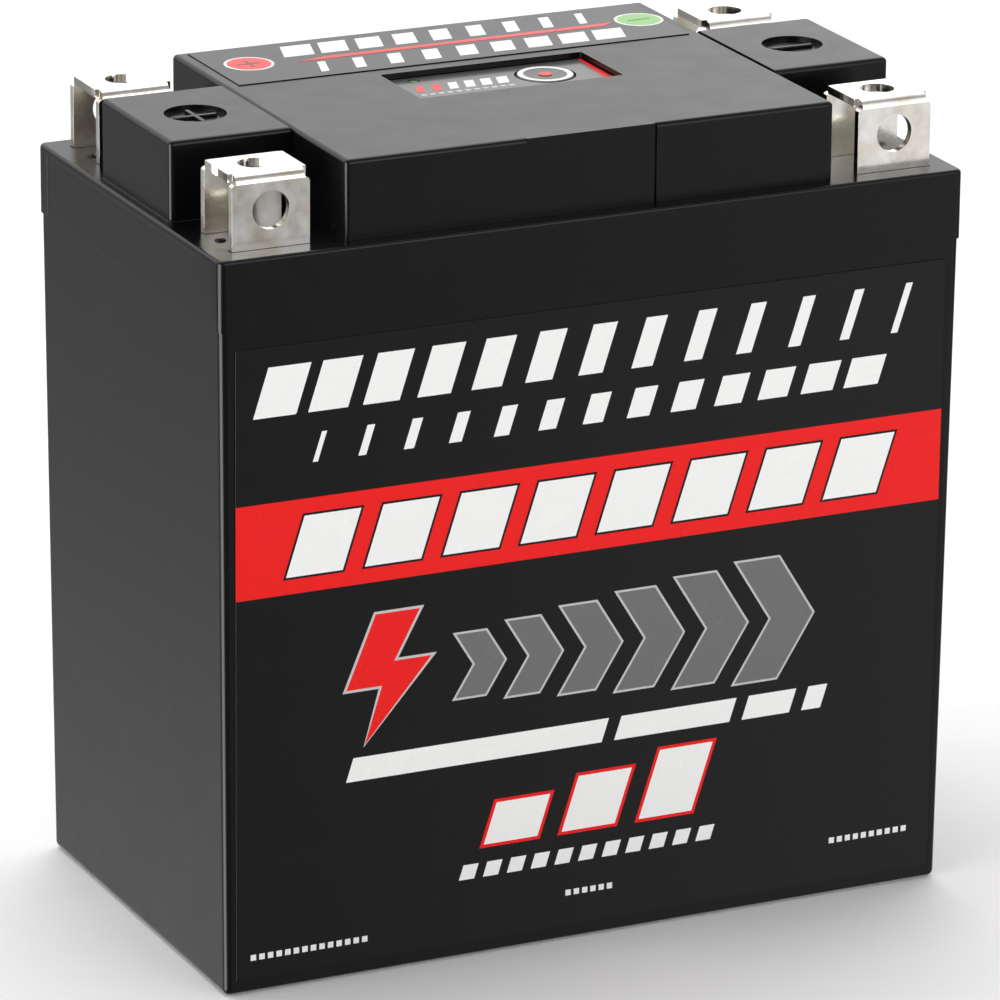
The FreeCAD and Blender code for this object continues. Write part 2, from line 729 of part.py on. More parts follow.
def cut_panel(body):
    """The recess for the panel label, with the holes for the button and the light."""
    recess = new_sketch(body, "XY_Plane", "block_level")
    draw_panel(recess, "0")
    add_pocket(body, recess, "panel_recess")
    holes = new_sketch(body, "XY_Plane", "panel_floor")
    draw_panel_holes(holes)
    add_pocket(body, holes, "cover_top - panel_recess")


def draw_panel(sketch, gap):
    """Outline of the panel, drawn in by a gap."""
    across = f"panel_width / 2 - {gap}"
    back = f"panel_depth / 2 - {gap}"
    add_rectangle(sketch, f"panel_shift_across - ({across})", f"panel_shift_across + {across}",
                  f"panel_shift_back - ({back})", f"panel_shift_back + {back}")


def draw_panel_holes(sketch):
    """Holes for the button and for the light pipe."""
    add_circle(sketch, "button_across", "button_back", "button_diameter + 2 * button_clearance")
    add_circle(sketch, "led_across", "led_back", "led_diameter + 2 * led_clearance")


def make_cover_screws():
    """Screws that hold the cover to the deck, from below."""
    screws = [add_screw("cover", across, back, "deck_under", "cover_screw_length", upward=True)
              for across, back in cover_boss_places()]
    add_group("cover_screws", screws)


# Labels --------------------------------------------------------------------------------------


def make_labels():
    """Front and rear labels on the drafted faces, the top label and the panel label."""
    for side, name in ((-1, "front_label"), (1, "rear_label")):
        body = new_body("Label")
        outline = new_sketch(body, "YZ_Plane", "0")
        add_polygon(outline, [
            (signed(side, "label_bottom_face"), "label_bottom"),
            (signed(side, "label_bottom_face + label_thickness"), "label_bottom"),
            (signed(side, "label_top_face + label_thickness"), "label_top"),
            (signed(side, "label_top_face"), "label_top"),
        ])
        add_pad(body, outline, "label_width", middle=True)
        keep(body, name)
    sticker_span = ("sticker_front", "sticker_front + sticker_depth")
    sticker = add_block("Sticker", ("-sticker_width / 2", "sticker_width / 2"), sticker_span,
                        ("block_level", "block_level + label_thickness"))
    keep(sticker, "top_label")
    body = new_body("PanelLabel")
    outline = new_sketch(body, "XY_Plane", "panel_floor")
    draw_panel(outline, "panel_label_gap")
    draw_panel_holes(outline)
    add_pad(body, outline, "label_thickness")
    keep(body, "panel_label")


# Terminals -----------------------------------------------------------------------------------


def make_terminal(across_side, back_side, name):
    """One folded strap: outer plate, top plate and inner plate, with a foot under the deck."""
    body = new_body("Terminal")
    middle = signed(across_side, "terminal_offset")
    outline = new_sketch(body, "YZ_Plane", middle)
    corners = [
        ("strap_outer", "deck_under - leg_drop"),
        ("strap_outer", "strap_level"),
        ("strap_inner", "strap_level"),
        ("strap_inner", "foot_under + strap_thickness"),
        ("foot_end", "foot_under + strap_thickness"),
        ("foot_end", "foot_under"),
        ("strap_inner + strap_thickness", "foot_under"),
        ("strap_inner + strap_thickness", "strap_level - strap_thickness"),
        ("strap_outer - strap_thickness", "strap_level - strap_thickness"),
        ("strap_outer - strap_thickness", "deck_under - leg_drop"),
    ]
    add_polygon(outline, [(signed(back_side, back), up) for back, up in corners])
    strap = add_pad(body, outline, "strap_width", middle=True)
    round_strap_bends(body, strap)
    cut_strap_reliefs(body, middle, back_side)
    cut_strap_holes(body, middle, back_side)
    keep(body, name)


def round_strap_bends(body, strap):
    """Bend radii: the outer one at the top corners, the rest of it inside them."""
    top = value("strap_level")
    inside = top - value("strap_thickness")

    def at_level(height):
        return lambda edge: runs_along_x(edge) and abs(edge.BoundBox.ZMin - height) < 0.001

    outer = add_fillet(body, strap, "strap_bend", at_level(top))
    add_fillet(body, outer, "strap_bend - strap_thickness", at_level(inside))


def cut_strap_reliefs(body, middle, back_side):
    """Reliefs in both edges that leave each bend narrower than the plates it joins."""
    reliefs = new_sketch(body, "XY_Plane", "strap_level")
    for across_side in SIDES:
        near, far = span(across_side, "strap_width / 2 - neck_depth",
                         "strap_width / 2 + neck_depth")
        for start, end in (("strap_outer - strap_bend", "strap_outer + neck_depth"),
                           ("strap_inner - neck_depth", "strap_inner + strap_bend")):
            front, back = span(back_side, start, end)
            add_rectangle(reliefs, f"{middle} + {near}", f"{middle} + {far}", front, back)
    cut = add_pocket(body, reliefs, "neck_drop")
    level = value("strap_level") - value("neck_drop")

    def is_plate_corner(edge):
        box = edge.BoundBox
        from_middle = abs(abs(box.XMin) - value("terminal_offset"))
        at_side = abs(from_middle - value("strap_width") / 2) < 0.001
        return box.YLength > 0.5 and at_side and is_level_at(level)(edge)

    add_fillet(body, cut, "strap_corner", is_plate_corner)


def cut_strap_holes(body, middle, back_side):
    """Bolt holes in the outer and the top plate, and the screw hole in the foot."""
    side_hole = new_sketch(body, "XZ_Plane", signed(-back_side, "strap_outer"))
    add_circle(side_hole, middle, "deck_level + side_bolt_height", "side_bolt")
    add_pocket(body, side_hole, "strap_span / 2", upward=back_side > 0)
    top_hole = new_sketch(body, "XY_Plane", "strap_level")
    place = signed(back_side, "strap_outer - top_bolt_inset")
    add_circle(top_hole, middle, place, "top_bolt")
    add_pocket(body, top_hole, "strap_bend + strap_thickness")
    foot_hole = new_sketch(body, "XY_Plane", "foot_under + strap_thickness")
    add_circle(foot_hole, middle, signed(back_side, "rail_screw_back"),
               "rail_shank + 2 * screw_slack")
    add_pocket(body, foot_hole, "strap_thickness")


def make_rail(side, name):
    """A copper rail under the feet of the front and the rear terminal."""
    body = new_body("Rail")
    outline = new_sketch(body, "XY_Plane", "rail_under")
    left, right = span(side, "terminal_offset - rail_width / 2", "terminal_offset + rail_width / 2")
    reach = "rail_screw_back + rail_overhang"
    add_rectangle(outline, left, right, f"-({reach})", reach)
    middle = signed(side, "terminal_offset")
    for back in ("-rail_screw_back", "0", "rail_screw_back"):
        add_circle(outline, middle, back, "rail_shank + 2 * screw_slack")
    add_pad(body, outline, "rail_thickness")
    keep(body, name)


def make_riser(side, name, base_end, base_level):
    """A bent copper strap from its base, at a level, up to the rail."""
    body = new_body("Riser")
    outline = new_sketch(body, "XZ_Plane", "0")
    corners = [
        (base_end, base_level),
        ("riser_wall + riser_thickness", base_level),
        ("riser_wall + riser_thickness", "rail_under - riser_thickness"),
        ("riser_end", "rail_under - riser_thickness"),
        ("riser_end", "rail_under"),
        ("riser_wall", "rail_under"),
        ("riser_wall", f"{base_level} + riser_thickness"),
        (base_end, f"{base_level} + riser_thickness"),
    ]
    add_polygon(outline, [(signed(side, across), up) for across, up in corners])
    add_pad(body, outline, "riser_width", middle=True)
    hole = new_sketch(body, "XY_Plane", "rail_under")
    add_circle(hole, signed(side, "terminal_offset"), "0", "rail_shank + 2 * screw_slack")
    add_pocket(body, hole, "riser_thickness")
    keep(body, name)


def make_rail_screws():
    """Screws that clamp feet, rails and risers together."""
    clamps = []
    ties = []
    for side in SIDES:
        middle = signed(side, "terminal_offset")
        seat = "foot_under + strap_thickness"
        for back in ("-rail_screw_back", "rail_screw_back"):
            clamps.append(add_screw("rail", middle, back, seat, "strap_thickness + rail_thickness"))
        length = "rail_thickness + riser_thickness"
        ties.append(add_screw("rail", middle, "0", "foot_under", length))
    add_group("rail_screws", clamps)
    add_group("riser_screws", ties)


# Cell pack -----------------------------------------------------------------------------------


def column_place(column):
    """Centre of a column of cells, in X."""
    return f"{column - (CELL_COLUMNS - 1) / 2} * cell_pitch"


def row_place(row):
    """Centre of a row of cells, in Y."""
    return f"{row - (CELL_ROWS - 1) / 2} * cell_pitch"


def make_cell(column, row, name):
    """One cell: sleeve and raised positive contact, upside down in every second column."""
    body = new_body("Cell")
    outline = new_sketch(body, "XZ_Plane", "0")
    add_polygon(outline, [
        ("0", "-cell_height / 2"),
        ("cell_diameter / 2 - cell_edge", "-cell_height / 2"),
        ("cell_diameter / 2", "-cell_height / 2 + cell_edge"),
        ("cell_diameter / 2", "cell_height / 2 - cell_cap_height - cell_edge"),
        ("cell_diameter / 2 - cell_edge", "cell_height / 2 - cell_cap_height"),
        ("cell_cap / 2", "cell_height / 2 - cell_cap_height"),
        ("cell_cap / 2", "cell_height / 2"),
        ("0", "cell_height / 2"),
    ])
    turned = body.newObject("PartDesign::Revolution", "Revolution")
    turned.Profile = outline
    turned.ReferenceAxis = (outline, ["V_Axis"])
    turned.Angle = 360
    if column % 2:
        body.Placement = FreeCAD.Placement(FreeCAD.Vector(), FreeCAD.Rotation(180, 0, 180))
    bind(body, "Placement.Base.x", column_place(column))
    bind(body, "Placement.Base.y", row_place(row))
    bind(body, "Placement.Base.z", "cell_bottom + cell_height / 2")
    document.recompute()
    keep(body, name)


def make_cells():
    """All the cells, column by column."""
    number = 0
    for column in range(CELL_COLUMNS):
        for row in range(CELL_ROWS):
            number += 1
            make_cell(column, row, f"cell_{number}")


def rod_places():
    """Tie rods stand between four cells each."""
    return [(f"{number} * cell_pitch", "0") for number in (-1, 0, 1)]


def make_holder(name, low, high, pocket_level, upward):
    """A moulded plate that grips the ends of all the cells."""
    body = new_body("Holder")
    outline = new_sketch(body, "XY_Plane", low)
    add_centred(outline, "holder_half_width", "holder_half_depth")
    add_pad(body, outline, f"{high} - ({low})")
    cups = new_sketch(body, "XY_Plane", pocket_level)
    windows = new_sketch(body, "XY_Plane", pocket_level)
    for column in range(CELL_COLUMNS):
        for row in range(CELL_ROWS):
            place = (column_place(column), row_place(row))
            add_circle(cups, *place, "cell_diameter + 2 * holder_clearance")
            add_circle(windows, *place, "holder_window")
    add_pocket(body, cups, "holder_grip", upward=upward)
    add_pocket(body, windows, "holder_ledge", upward=not upward)
    holes = new_sketch(body, "XY_Plane", low)
    for across, back in rod_places():
        add_circle(holes, across, back, "rod_diameter + 2 * screw_slack")
    add_pocket(body, holes, f"{high} - ({low})", upward=True)
    keep(body, name)


def make_holders():
    """Lower and upper cell holder."""
    make_holder("cell_holder_lower", "holder_under", "cell_bottom + holder_grip",
                "cell_bottom", True)
    make_holder("cell_holder_upper", "cell_level - holder_grip", "holder_level",
                "cell_level", False)


def make_tie_rods():
    """Rods with a head below and above that pull the holders together."""
    rods = []
    for across, back in rod_places():
        low_head = add_rod("Head", "rod_head", across, back,
                           ("holder_under - rod_head_height", "holder_under"))
        shank = add_rod("Shank", "rod_diameter", across, back, ("holder_under", "holder_level"))
        high_head = add_rod("Head", "rod_head", across, back,
                            ("holder_level", "holder_level + rod_head_height"))
        rods.append(add_fuse("Rod", [low_head, shank, high_head]))
    add_group("holder_tie_rods", rods)


def make_link(name, columns, top, tab_side=0):
    """A nickel link over the cells of its columns, with a weld cup down to each contact."""
    body = new_body("Link")
    level = "holder_level" if top else "lower_link_under"
    plate = new_sketch(body, "XY_Plane", level)
    left = f"{column_place(columns[0])} - link_margin"
    right = f"{column_place(columns[-1])} + link_margin"
    half = "cell_pitch / 2 + link_margin"
    add_rectangle(plate, left, right, f"-({half})", half)
    if len(columns) > 1:
        middle = f"({column_place(columns[0])} + {column_place(columns[-1])}) / 2"
        add_circle(plate, middle, "0", "rod_head + 2 * holder_clearance")
    add_pad(body, plate, "link_thickness")
    if tab_side:
        tab = new_sketch(body, "XY_Plane", level)
        near = f"{column_place(columns[0])} + {tab_side} * link_margin"
        ends = [near, signed(tab_side, "riser_wall + riser_thickness")]
        ends = ends if tab_side > 0 else ends[::-1]
        add_rectangle(tab, *ends, "-link_tab / 2", "link_tab / 2")
        add_pad(body, tab, "link_thickness")
    cups = new_sketch(body, "XY_Plane", "holder_level" if top else "holder_under")
    for column in columns:
        for row in range(CELL_ROWS):
            add_circle(cups, column_place(column), row_place(row), "weld_cup")
    add_pad(body, cups, "holder_ledge", reverse=top)
    keep(body, name)


def make_links():
    """Four pairs of cells in series."""
    make_link("link_positive", [0], True, tab_side=-1)
    make_link("link_1_2", [0, 1], False)
    make_link("link_2_3", [1, 2], True)
    make_link("link_3_4", [2, 3], False)
    make_link("link_negative", [3], True)


# Management board ----------------------------------------------------------------------------


def board_screw_places():
    """Screws near the four corners of the management board."""
    return [(signed(across_side, "board_screw_across"), signed(back_side, "board_screw_back"))
            for across_side in SIDES for back_side in SIDES]


def make_board():
    """The management board on its standoffs."""
    body = new_body("Board")
    outline = new_sketch(body, "XY_Plane", "board_under")
    add_centred(outline, "board_half_width", "board_half_depth")
    for across, back in board_screw_places():
        add_circle(outline, across, back, "small_shank + 2 * screw_slack")
    add_pad(body, outline, "board_thickness")
    keep(body, "management_board")
    standoffs = []
    screws = []
    for across, back in board_screw_places():
        post = add_rod("Post", "standoff_diameter", across, back, ("holder_level", "board_under"))
        depth = "small_length - board_thickness + screw_slack"
        bore = add_rod("Bore", "small_shank + 2 * screw_slack", across, back,
                       (f"board_under - ({depth})", "board_under"))
        standoffs.append(add_cut("Standoff", post, bore))
        screws.append(add_screw("small", across, back, "board_level", "small_length"))
    add_group("board_standoffs", standoffs)
    add_group("board_screws", screws)


def make_board_parts():
    """Power transistors under the heat spreader, capacitors, shunt and feed post."""
    chips = []
    for column in range(CHIP_COLUMNS):
        middle = f"{column - (CHIP_COLUMNS - 1) / 2} * chip_pitch"
        for row in range(CHIP_ROWS):
            back = f"{row - (CHIP_ROWS - 1) / 2} * chip_pitch"
            across_span = (f"{middle} - chip_width / 2", f"{middle} + chip_width / 2")
            back_span = (f"{back} - chip_depth / 2", f"{back} + chip_depth / 2")
            chips.append(add_block("Chip", across_span, back_span, ("board_level", "chip_level")))
    add_group("board_mosfets", chips)
    spreader = add_block("Spreader", ("-spreader_width / 2", "spreader_width / 2"),
                         ("-spreader_depth / 2", "spreader_depth / 2"),
                         ("chip_level", "spreader_level"))
    keep(spreader, "board_heat_spreader")
    cans = []
    for number in range(CAPACITORS):
        across = f"-capacitor_offset + {number} * capacitor_pitch"
        cans.append(add_rod("Can", "capacitor_diameter", across, "capacitor_back",
                            ("board_level", "board_level + capacitor_height")))
    add_group("board_capacitors", cans)
    make_shunt()
    feed_end = f"{column_place(CELL_COLUMNS - 1)} + link_margin"
    feed = add_block("Feed", (f"{feed_end} - feed_width", feed_end),
                     ("-riser_width / 2", "riser_width / 2"), ("upper_link_level", "board_under"))
    keep(feed, "board_feed")


def make_shunt():
    """A bridge-shaped shunt strip on the board, beside the capacitors."""
    body = new_body("Shunt")
    outline = new_sketch(body, "XZ_Plane", "-capacitor_back")
    reach = "capacitor_offset + shunt_width / 2"
    near = "capacitor_offset - shunt_width / 2"
    add_polygon(outline, [
        (near, "board_level"),
        (f"{near} + shunt_thickness", "board_level"),
        (f"{near} + shunt_thickness", "board_level + shunt_height - shunt_thickness"),
        (f"{reach} - shunt_thickness", "board_level + shunt_height - shunt_thickness"),
        (f"{reach} - shunt_thickness", "board_level"),
        (reach, "board_level"),
        (reach, "board_level + shunt_height"),
        (near, "board_level + shunt_height"),
    ])
    add_pad(body, outline, "shunt_depth", middle=True)
    keep(body, "board_shunt")


def make_flexes():
    """The button flex and the balance flex, with their connectors."""
    half = "connector_width / 2"
    across_span = (f"-({half})", half)
    button_plug = add_block("ButtonPlug", across_span,
                            ("button_board_front", "button_board_front + connector_depth"),
                            ("button_connector_under", "button_board_under"))
    board_plug = add_block("BoardPlug", across_span,
                           ("-flex_front - connector_depth / 2", "-flex_front + connector_depth / 2"),
                           ("board_level", "board_level + connector_height"))
    balance_plug = add_block("BalancePlug", across_span, ("balance_front", "board_half_depth"),
                             ("board_level", "board_level + connector_height"))
    add_group("flex_connectors", [button_plug, board_plug, balance_plug])

    body = new_body("ButtonFlex")
    outline = new_sketch(body, "YZ_Plane", "0")
    add_polygon(outline, [
        ("button_board_front", "button_flex_level"),
        ("-flex_front + flex_thickness", "button_flex_level"),
        ("-flex_front + flex_thickness", "board_level + connector_height"),
        ("-flex_front", "board_level + connector_height"),
        ("-flex_front", "button_flex_level + flex_thickness"),
        ("button_board_front", "button_flex_level + flex_thickness"),
    ])
    add_pad(body, outline, "flex_width", middle=True)
    keep(body, "button_flex")

    body = new_body("BalanceFlex")
    outline = new_sketch(body, "YZ_Plane", "0")
    back = "board_half_depth + flex_overhang"
    rest = "cell_pitch / 2 + link_margin - flex_rest"
    add_polygon(outline, [
        ("board_half_depth", "balance_flex_level"),
        ("board_half_depth", "balance_flex_level + flex_thickness"),
        (back, "balance_flex_level + flex_thickness"),
        (back, "upper_link_level"),
        (rest, "upper_link_level"),
        (rest, "upper_link_level + flex_thickness"),
        (f"{back} - flex_thickness", "upper_link_level + flex_thickness"),
        (f"{back} - flex_thickness", "balance_flex_level"),
    ])
    add_pad(body, outline, "flex_width", middle=True)
    keep(body, "balance_flex")


# Button --------------------------------------------------------------------------------------


def make_button():
    """The cap with its flange and stem, and the switch plunger that it pushes."""
    body = new_body("Button")
    outline = new_sketch(body, "XZ_Plane", "0")
    add_polygon(outline, [
        ("0", "button_cap_level"),
        ("0", "button_stem_end"),
        ("button_stem / 2", "button_stem_end"),
        ("button_stem / 2", "button_flange_under"),
        ("button_flange / 2", "button_flange_under"),
        ("button_flange / 2", "button_flange_level"),
        ("button_diameter / 2", "button_flange_level"),
        ("button_diameter / 2", "button_cap_level"),
    ])
    turned = body.newObject("PartDesign::Revolution", "Revolution")
    turned.Profile = outline
    turned.ReferenceAxis = (outline, ["V_Axis"])
    turned.Angle = 360
    bind(body, "Placement.Base.x", "button_across")
    bind(body, "Placement.Base.y", "button_back")
    document.recompute()
    keep(body, "restart_button")
    plunger = add_rod("Plunger", "plunger_diameter", "button_across", "button_back",
                      ("button_stem_end - plunger_length", "button_stem_end"))
    keep(plunger, "switch_plunger")


def make_switch():
    """The switch housing, with the bore that guides the plunger."""
    half = "switch_width / 2"
    block = add_block("Housing", (f"button_across - {half}", f"button_across + {half}"),
                      (f"button_back - {half}", f"button_back + {half}"),
                      ("button_board_level", "switch_level"))
    bore = add_rod("Bore", "plunger_diameter + 2 * plunger_clearance", "button_across",
                   "button_back", ("button_board_level + switch_floor", "switch_level"))
    keep(add_cut("Switch", block, bore), "switch_housing")


def make_button_board():
    """The small board under the cover, its screws, and the status light."""
    body = new_body("ButtonBoard")
    outline = new_sketch(body, "XY_Plane", "button_board_under")
    half = "button_board_width / 2"
    add_rectangle(outline, f"panel_shift_across - {half}", f"panel_shift_across + {half}",
                  "button_board_front", "button_board_front + button_board_depth")
    for across, back in button_boss_places():
        add_circle(outline, across, back, "small_shank + 2 * screw_slack")
    add_pad(body, outline, "board_thickness")
    keep(body, "button_board")
    screws = [add_screw("small", across, back, "button_board_under", "small_length", upward=True)
              for across, back in button_boss_places()]
    add_group("button_board_screws", screws)
    half = "led_chip / 2"
    chip = add_block("LightChip", (f"led_across - {half}", f"led_across + {half}"),
                     (f"led_back - {half}", f"led_back + {half}"),
                     ("button_board_level", "button_board_level + led_chip_height"))
    keep(chip, "status_led_chip")
    pipe = add_rod("LightPipe", "led_diameter", "led_across", "led_back",
                   ("button_board_level + led_chip_height", "panel_floor + label_thickness"))
    keep(pipe, "status_light")


# Foam ----------------------------------------------------------------------------------------


def make_foam():
    """Closed-cell foam that keeps the pack from moving."""
    across_span = ("-holder_half_width", "holder_half_width")
    base = add_block("BaseFoam", across_span, ("-holder_half_depth", "holder_half_depth"),
                     ("case_floor", "lower_link_under"))
    recesses = [add_rod("Recess", "rod_head + 2 * foam_slack", across, back,
                        ("holder_under - rod_head_height - foam_slack", "holder_under"))
                for across, back in rod_places()]
    keep(add_cut("FoamBase", base, add_fuse("Recesses", recesses)), "foam_base")
    for side, name in ((-1, "foam_left"), (1, "foam_right")):
        ends = span(side, "holder_half_width + foam_slack", "foot_half_width - foam_slack")
        pad = add_block("SideFoam", ends, ("-holder_half_depth", "holder_half_depth"),
                        ("case_floor", "cell_level"))
        keep(pad, name)
    for side, name in ((-1, "foam_front"), (1, "foam_rear")):
        ends = span(side, "holder_half_depth + foam_slack", "foot_half_depth - foam_slack")
        reach = "foot_half_width - foam_slack"
        pad = add_block("WallFoam", (f"-({reach})", reach), ends, ("case_floor", "cell_level"))
        keep(pad, name)
    top = add_block("TopFoam", ("-foam_top_width / 2", "foam_top_width / 2"),
                    ("-foam_top_depth / 2", "foam_top_depth / 2"), ("spreader_level", "deck_under"))
    keep(top, "foam_top")


def check_and_export():
    """Refuse a failed object or a bad shape, then write one file for each piece."""
    for thing in document.Objects:
        if "Invalid" in thing.State or "Error" in thing.State:
            raise RuntimeError(f"{thing.Name} failed: {thing.State}")
    os.makedirs("parts", exist_ok=True)
    for piece in pieces:
        if piece.Shape.isNull() or not piece.Shape.isValid():
            raise RuntimeError(f"{piece.Label} has no valid shape")
    for piece in pieces:
        piece.Shape.exportStep(f"parts/{piece.Label}.step")
        print(f"{piece.Label:24s} {len(piece.Shape.Solids):2d} solids {piece.Shape.Volume:10.1f} mm3")
    print(len(pieces), "pieces")


def main():
    """Build every piece, in the order in which they go together."""
    fill_sheet()
    fill_layout()
    make_case()
    make_lid()
    make_seal()
    make_cover()
    make_cover_screws()
    make_labels()
    for across_side, sign in ((-1, "positive"), (1, "negative")):
        for back_side, end in ((-1, "front"), (1, "rear")):
            make_terminal(across_side, back_side, f"terminal_{sign}_{end}")
    make_rail(-1, "positive_rail")
    make_rail(1, "negative_rail")
    link_edge = "1.5 * cell_pitch + link_margin"
    make_riser(-1, "positive_riser", link_edge, "upper_link_level")
    make_riser(1, "negative_riser", link_edge, "board_level")
    make_rail_screws()
    make_cells()
    make_holders()
    make_tie_rods()
    make_links()
    make_board()
    make_board_parts()
    make_flexes()
    make_button()
    make_switch()
    make_button_board()
    make_foam()
    document.recompute()
    check_and_export()


main()
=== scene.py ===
"""Dress the motorcycle battery: housing, labels, strap terminals, push button and studio.

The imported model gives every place. Each sub-assembly below builds its meshes in metres in the
same frame, lets them ride on a body, and gives them a procedural finish.
"""

from __future__ import annotations

import json
import logging
import math
from dataclasses import dataclass, field
from enum import Enum
from typing import Iterable, Sequence

import bmesh
import bpy
from bmesh.types import BMesh
from mathutils import Matrix, Vector

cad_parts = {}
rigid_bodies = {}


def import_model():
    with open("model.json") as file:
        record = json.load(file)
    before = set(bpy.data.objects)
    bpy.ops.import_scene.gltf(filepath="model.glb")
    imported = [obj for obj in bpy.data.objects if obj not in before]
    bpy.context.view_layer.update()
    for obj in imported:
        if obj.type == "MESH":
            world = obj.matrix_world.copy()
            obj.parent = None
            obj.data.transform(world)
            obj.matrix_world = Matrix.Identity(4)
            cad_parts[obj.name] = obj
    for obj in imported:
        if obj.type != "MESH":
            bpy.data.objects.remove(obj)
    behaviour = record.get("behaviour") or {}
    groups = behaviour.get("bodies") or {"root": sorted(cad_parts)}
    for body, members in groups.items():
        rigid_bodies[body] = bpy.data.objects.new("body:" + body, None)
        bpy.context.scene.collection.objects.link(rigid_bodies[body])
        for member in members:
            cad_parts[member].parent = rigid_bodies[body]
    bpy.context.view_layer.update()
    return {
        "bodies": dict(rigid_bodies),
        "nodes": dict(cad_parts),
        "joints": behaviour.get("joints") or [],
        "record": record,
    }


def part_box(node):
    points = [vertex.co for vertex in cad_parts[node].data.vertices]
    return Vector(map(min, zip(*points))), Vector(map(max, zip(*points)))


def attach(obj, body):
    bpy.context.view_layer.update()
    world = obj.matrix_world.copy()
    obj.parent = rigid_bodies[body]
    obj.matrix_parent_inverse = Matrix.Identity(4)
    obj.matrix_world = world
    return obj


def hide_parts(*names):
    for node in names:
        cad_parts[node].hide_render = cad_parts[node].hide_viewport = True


LOG = logging.getLogger("motorcycle_battery")
MM = 0.001
BATTERY = "battery"
BUTTON = "button"
SIDES = (-1, 1)

Point = tuple[float, float]


# Finishes --------------------------------------------------------------------------------------


class Shader:
    """The node tree of one material, with short calls that add to it."""

    def __init__(self, name: str) -> None:
        """Start a material with its principled surface.

        Args:
            name: name of the material.
        """
        self.material = bpy.data.materials.new(name)
        self.material.use_nodes = True
        self.tree = self.material.node_tree
        self.surface = self.tree.nodes["Principled BSDF"]
        self.place = self.add("ShaderNodeTexCoord").outputs["Object"]

    def add(self, kind: str, **settings: object) -> bpy.types.Node:
        """Add a node.

        Args:
            kind: the node's type name.
            settings: attributes to set on it.

        Returns:
            The new node.
        """
        node = self.tree.nodes.new(kind)
        for key, setting in settings.items():
            setattr(node, key, setting)
        return node

    def link(self, source: bpy.types.NodeSocket, target: bpy.types.NodeSocket) -> None:
        """Join two sockets."""
        self.tree.links.new(source, target)

    def set(self, **values: object) -> None:
        """Set plain values on the surface, with underscores for spaces in socket names."""
        for key, setting in values.items():
            self.surface.inputs[key.replace("_", " ")].default_value = setting

    def stretched(self, scale: Sequence[float]) -> bpy.types.NodeSocket:
        """Coordinates stretched along each axis.

        Args:
            scale: factor for X, Y and Z.

        Returns:
            The stretched vector.
        """
        mapping = self.add("ShaderNodeMapping")
        mapping.inputs["Scale"].default_value = scale
        self.link(self.place, mapping.inputs["Vector"])
        return mapping.outputs["Vector"]

    def noise(self, size: float, detail: float = 3.0,
              place: bpy.types.NodeSocket | None = None) -> bpy.types.NodeSocket:
        """Noise whose features are about one size across.

        Args:
            size: feature size in metres.
            detail: octaves of finer noise.
            place: coordinates, or none for the object's own.

        Returns:
            The noise factor.
        """
        node = self.add("ShaderNodeTexNoise")
        node.inputs["Scale"].default_value = 1.0 / size
        node.inputs["Detail"].default_value = detail
        self.link(place or self.place, node.inputs["Vector"])
        return node.outputs["Fac"]

    def spread(self, factor: bpy.types.NodeSocket, low: float, high: float,
               start: float = 0.3, end: float = 0.7) -> bpy.types.NodeSocket:
        """Map a factor from start..end to low..high.

        Args:
            factor: the factor to map.
            low: result at start.
            high: result at end.
            start: lower end of the factor.
            end: upper end of the factor.

        Returns:
            The mapped value.
        """
        node = self.add("ShaderNodeMapRange")
        names = ("From Min", "From Max", "To Min", "To Max")
        for name, number in zip(names, (start, end, low, high)):
            node.inputs[name].default_value = number
        self.link(factor, node.inputs["Value"])
        return node.outputs["Result"]

    def tint(self, factor: bpy.types.NodeSocket, dark: Sequence[float],
             light: Sequence[float], start: float = 0.3, end: float = 0.7) -> None:
        """Colour the surface between two tones.

        Args:
            factor: where each tone shows.
            dark: tone at the factor's start.
            light: tone at the factor's end.
            start: lower end of the factor.
            end: upper end of the factor.
        """
        ramp = self.add("ShaderNodeValToRGB")
        ramp.color_ramp.elements[0].position = start
        ramp.color_ramp.elements[1].position = end
        ramp.color_ramp.elements[0].color = (*dark, 1.0)
        ramp.color_ramp.elements[1].color = (*light, 1.0)
        self.link(factor, ramp.inputs["Fac"])
        self.link(ramp.outputs["Color"], self.surface.inputs["Base Color"])

    def bump(self, layers: Iterable[tuple[bpy.types.NodeSocket, float]]) -> None:
        """Raise the surface by several layers.

        Args:
            layers: a height factor and a depth in metres for each layer.
        """
        previous = None
        for height, depth in layers:
            node = self.add("ShaderNodeBump")
            node.inputs["Strength"].default_value = 1.0
            node.inputs["Distance"].default_value = depth
            self.link(height, node.inputs["Height"])
            if previous:
                self.link(previous.outputs["Normal"], node.inputs["Normal"])
            previous = node
        if previous:
            self.link(previous.outputs["Normal"], self.surface.inputs["Normal"])


def toned(colour: Sequence[float], factor: float) -> tuple[float, ...]:
    """A colour made lighter or darker by a factor."""
    return tuple(min(1.0, channel * factor) for channel in colour)


@dataclass(frozen=True)
class MouldedPlastic:
    """Injection-moulded plastic with a spark-eroded grain and faint clouding."""

    name: str
    colour: tuple[float, float, float]
    roughness: float = 0.4
    grain_size: float = 0.35 * MM
    grain_depth: float = 0.004 * MM
    clouding: float = 0.12
    ior: float = 1.4

    def build(self) -> bpy.types.Material:
        """Mix the finish.

        Returns:
            The material.
        """
        shader = Shader(self.name)
        clouds = shader.noise(18 * MM, 4.0)
        shader.tint(clouds, toned(self.colour, 1 - self.clouding),
                    toned(self.colour, 1 + self.clouding))
        handling = shader.noise(7 * MM, 2.0)
        rough = shader.spread(handling, self.roughness - 0.02, self.roughness + 0.03)
        shader.link(rough, shader.surface.inputs["Roughness"])
        shader.set(IOR=self.ior)
        grain = shader.noise(self.grain_size, 2.0)
        shader.bump([(grain, self.grain_depth)])
        return shader.material


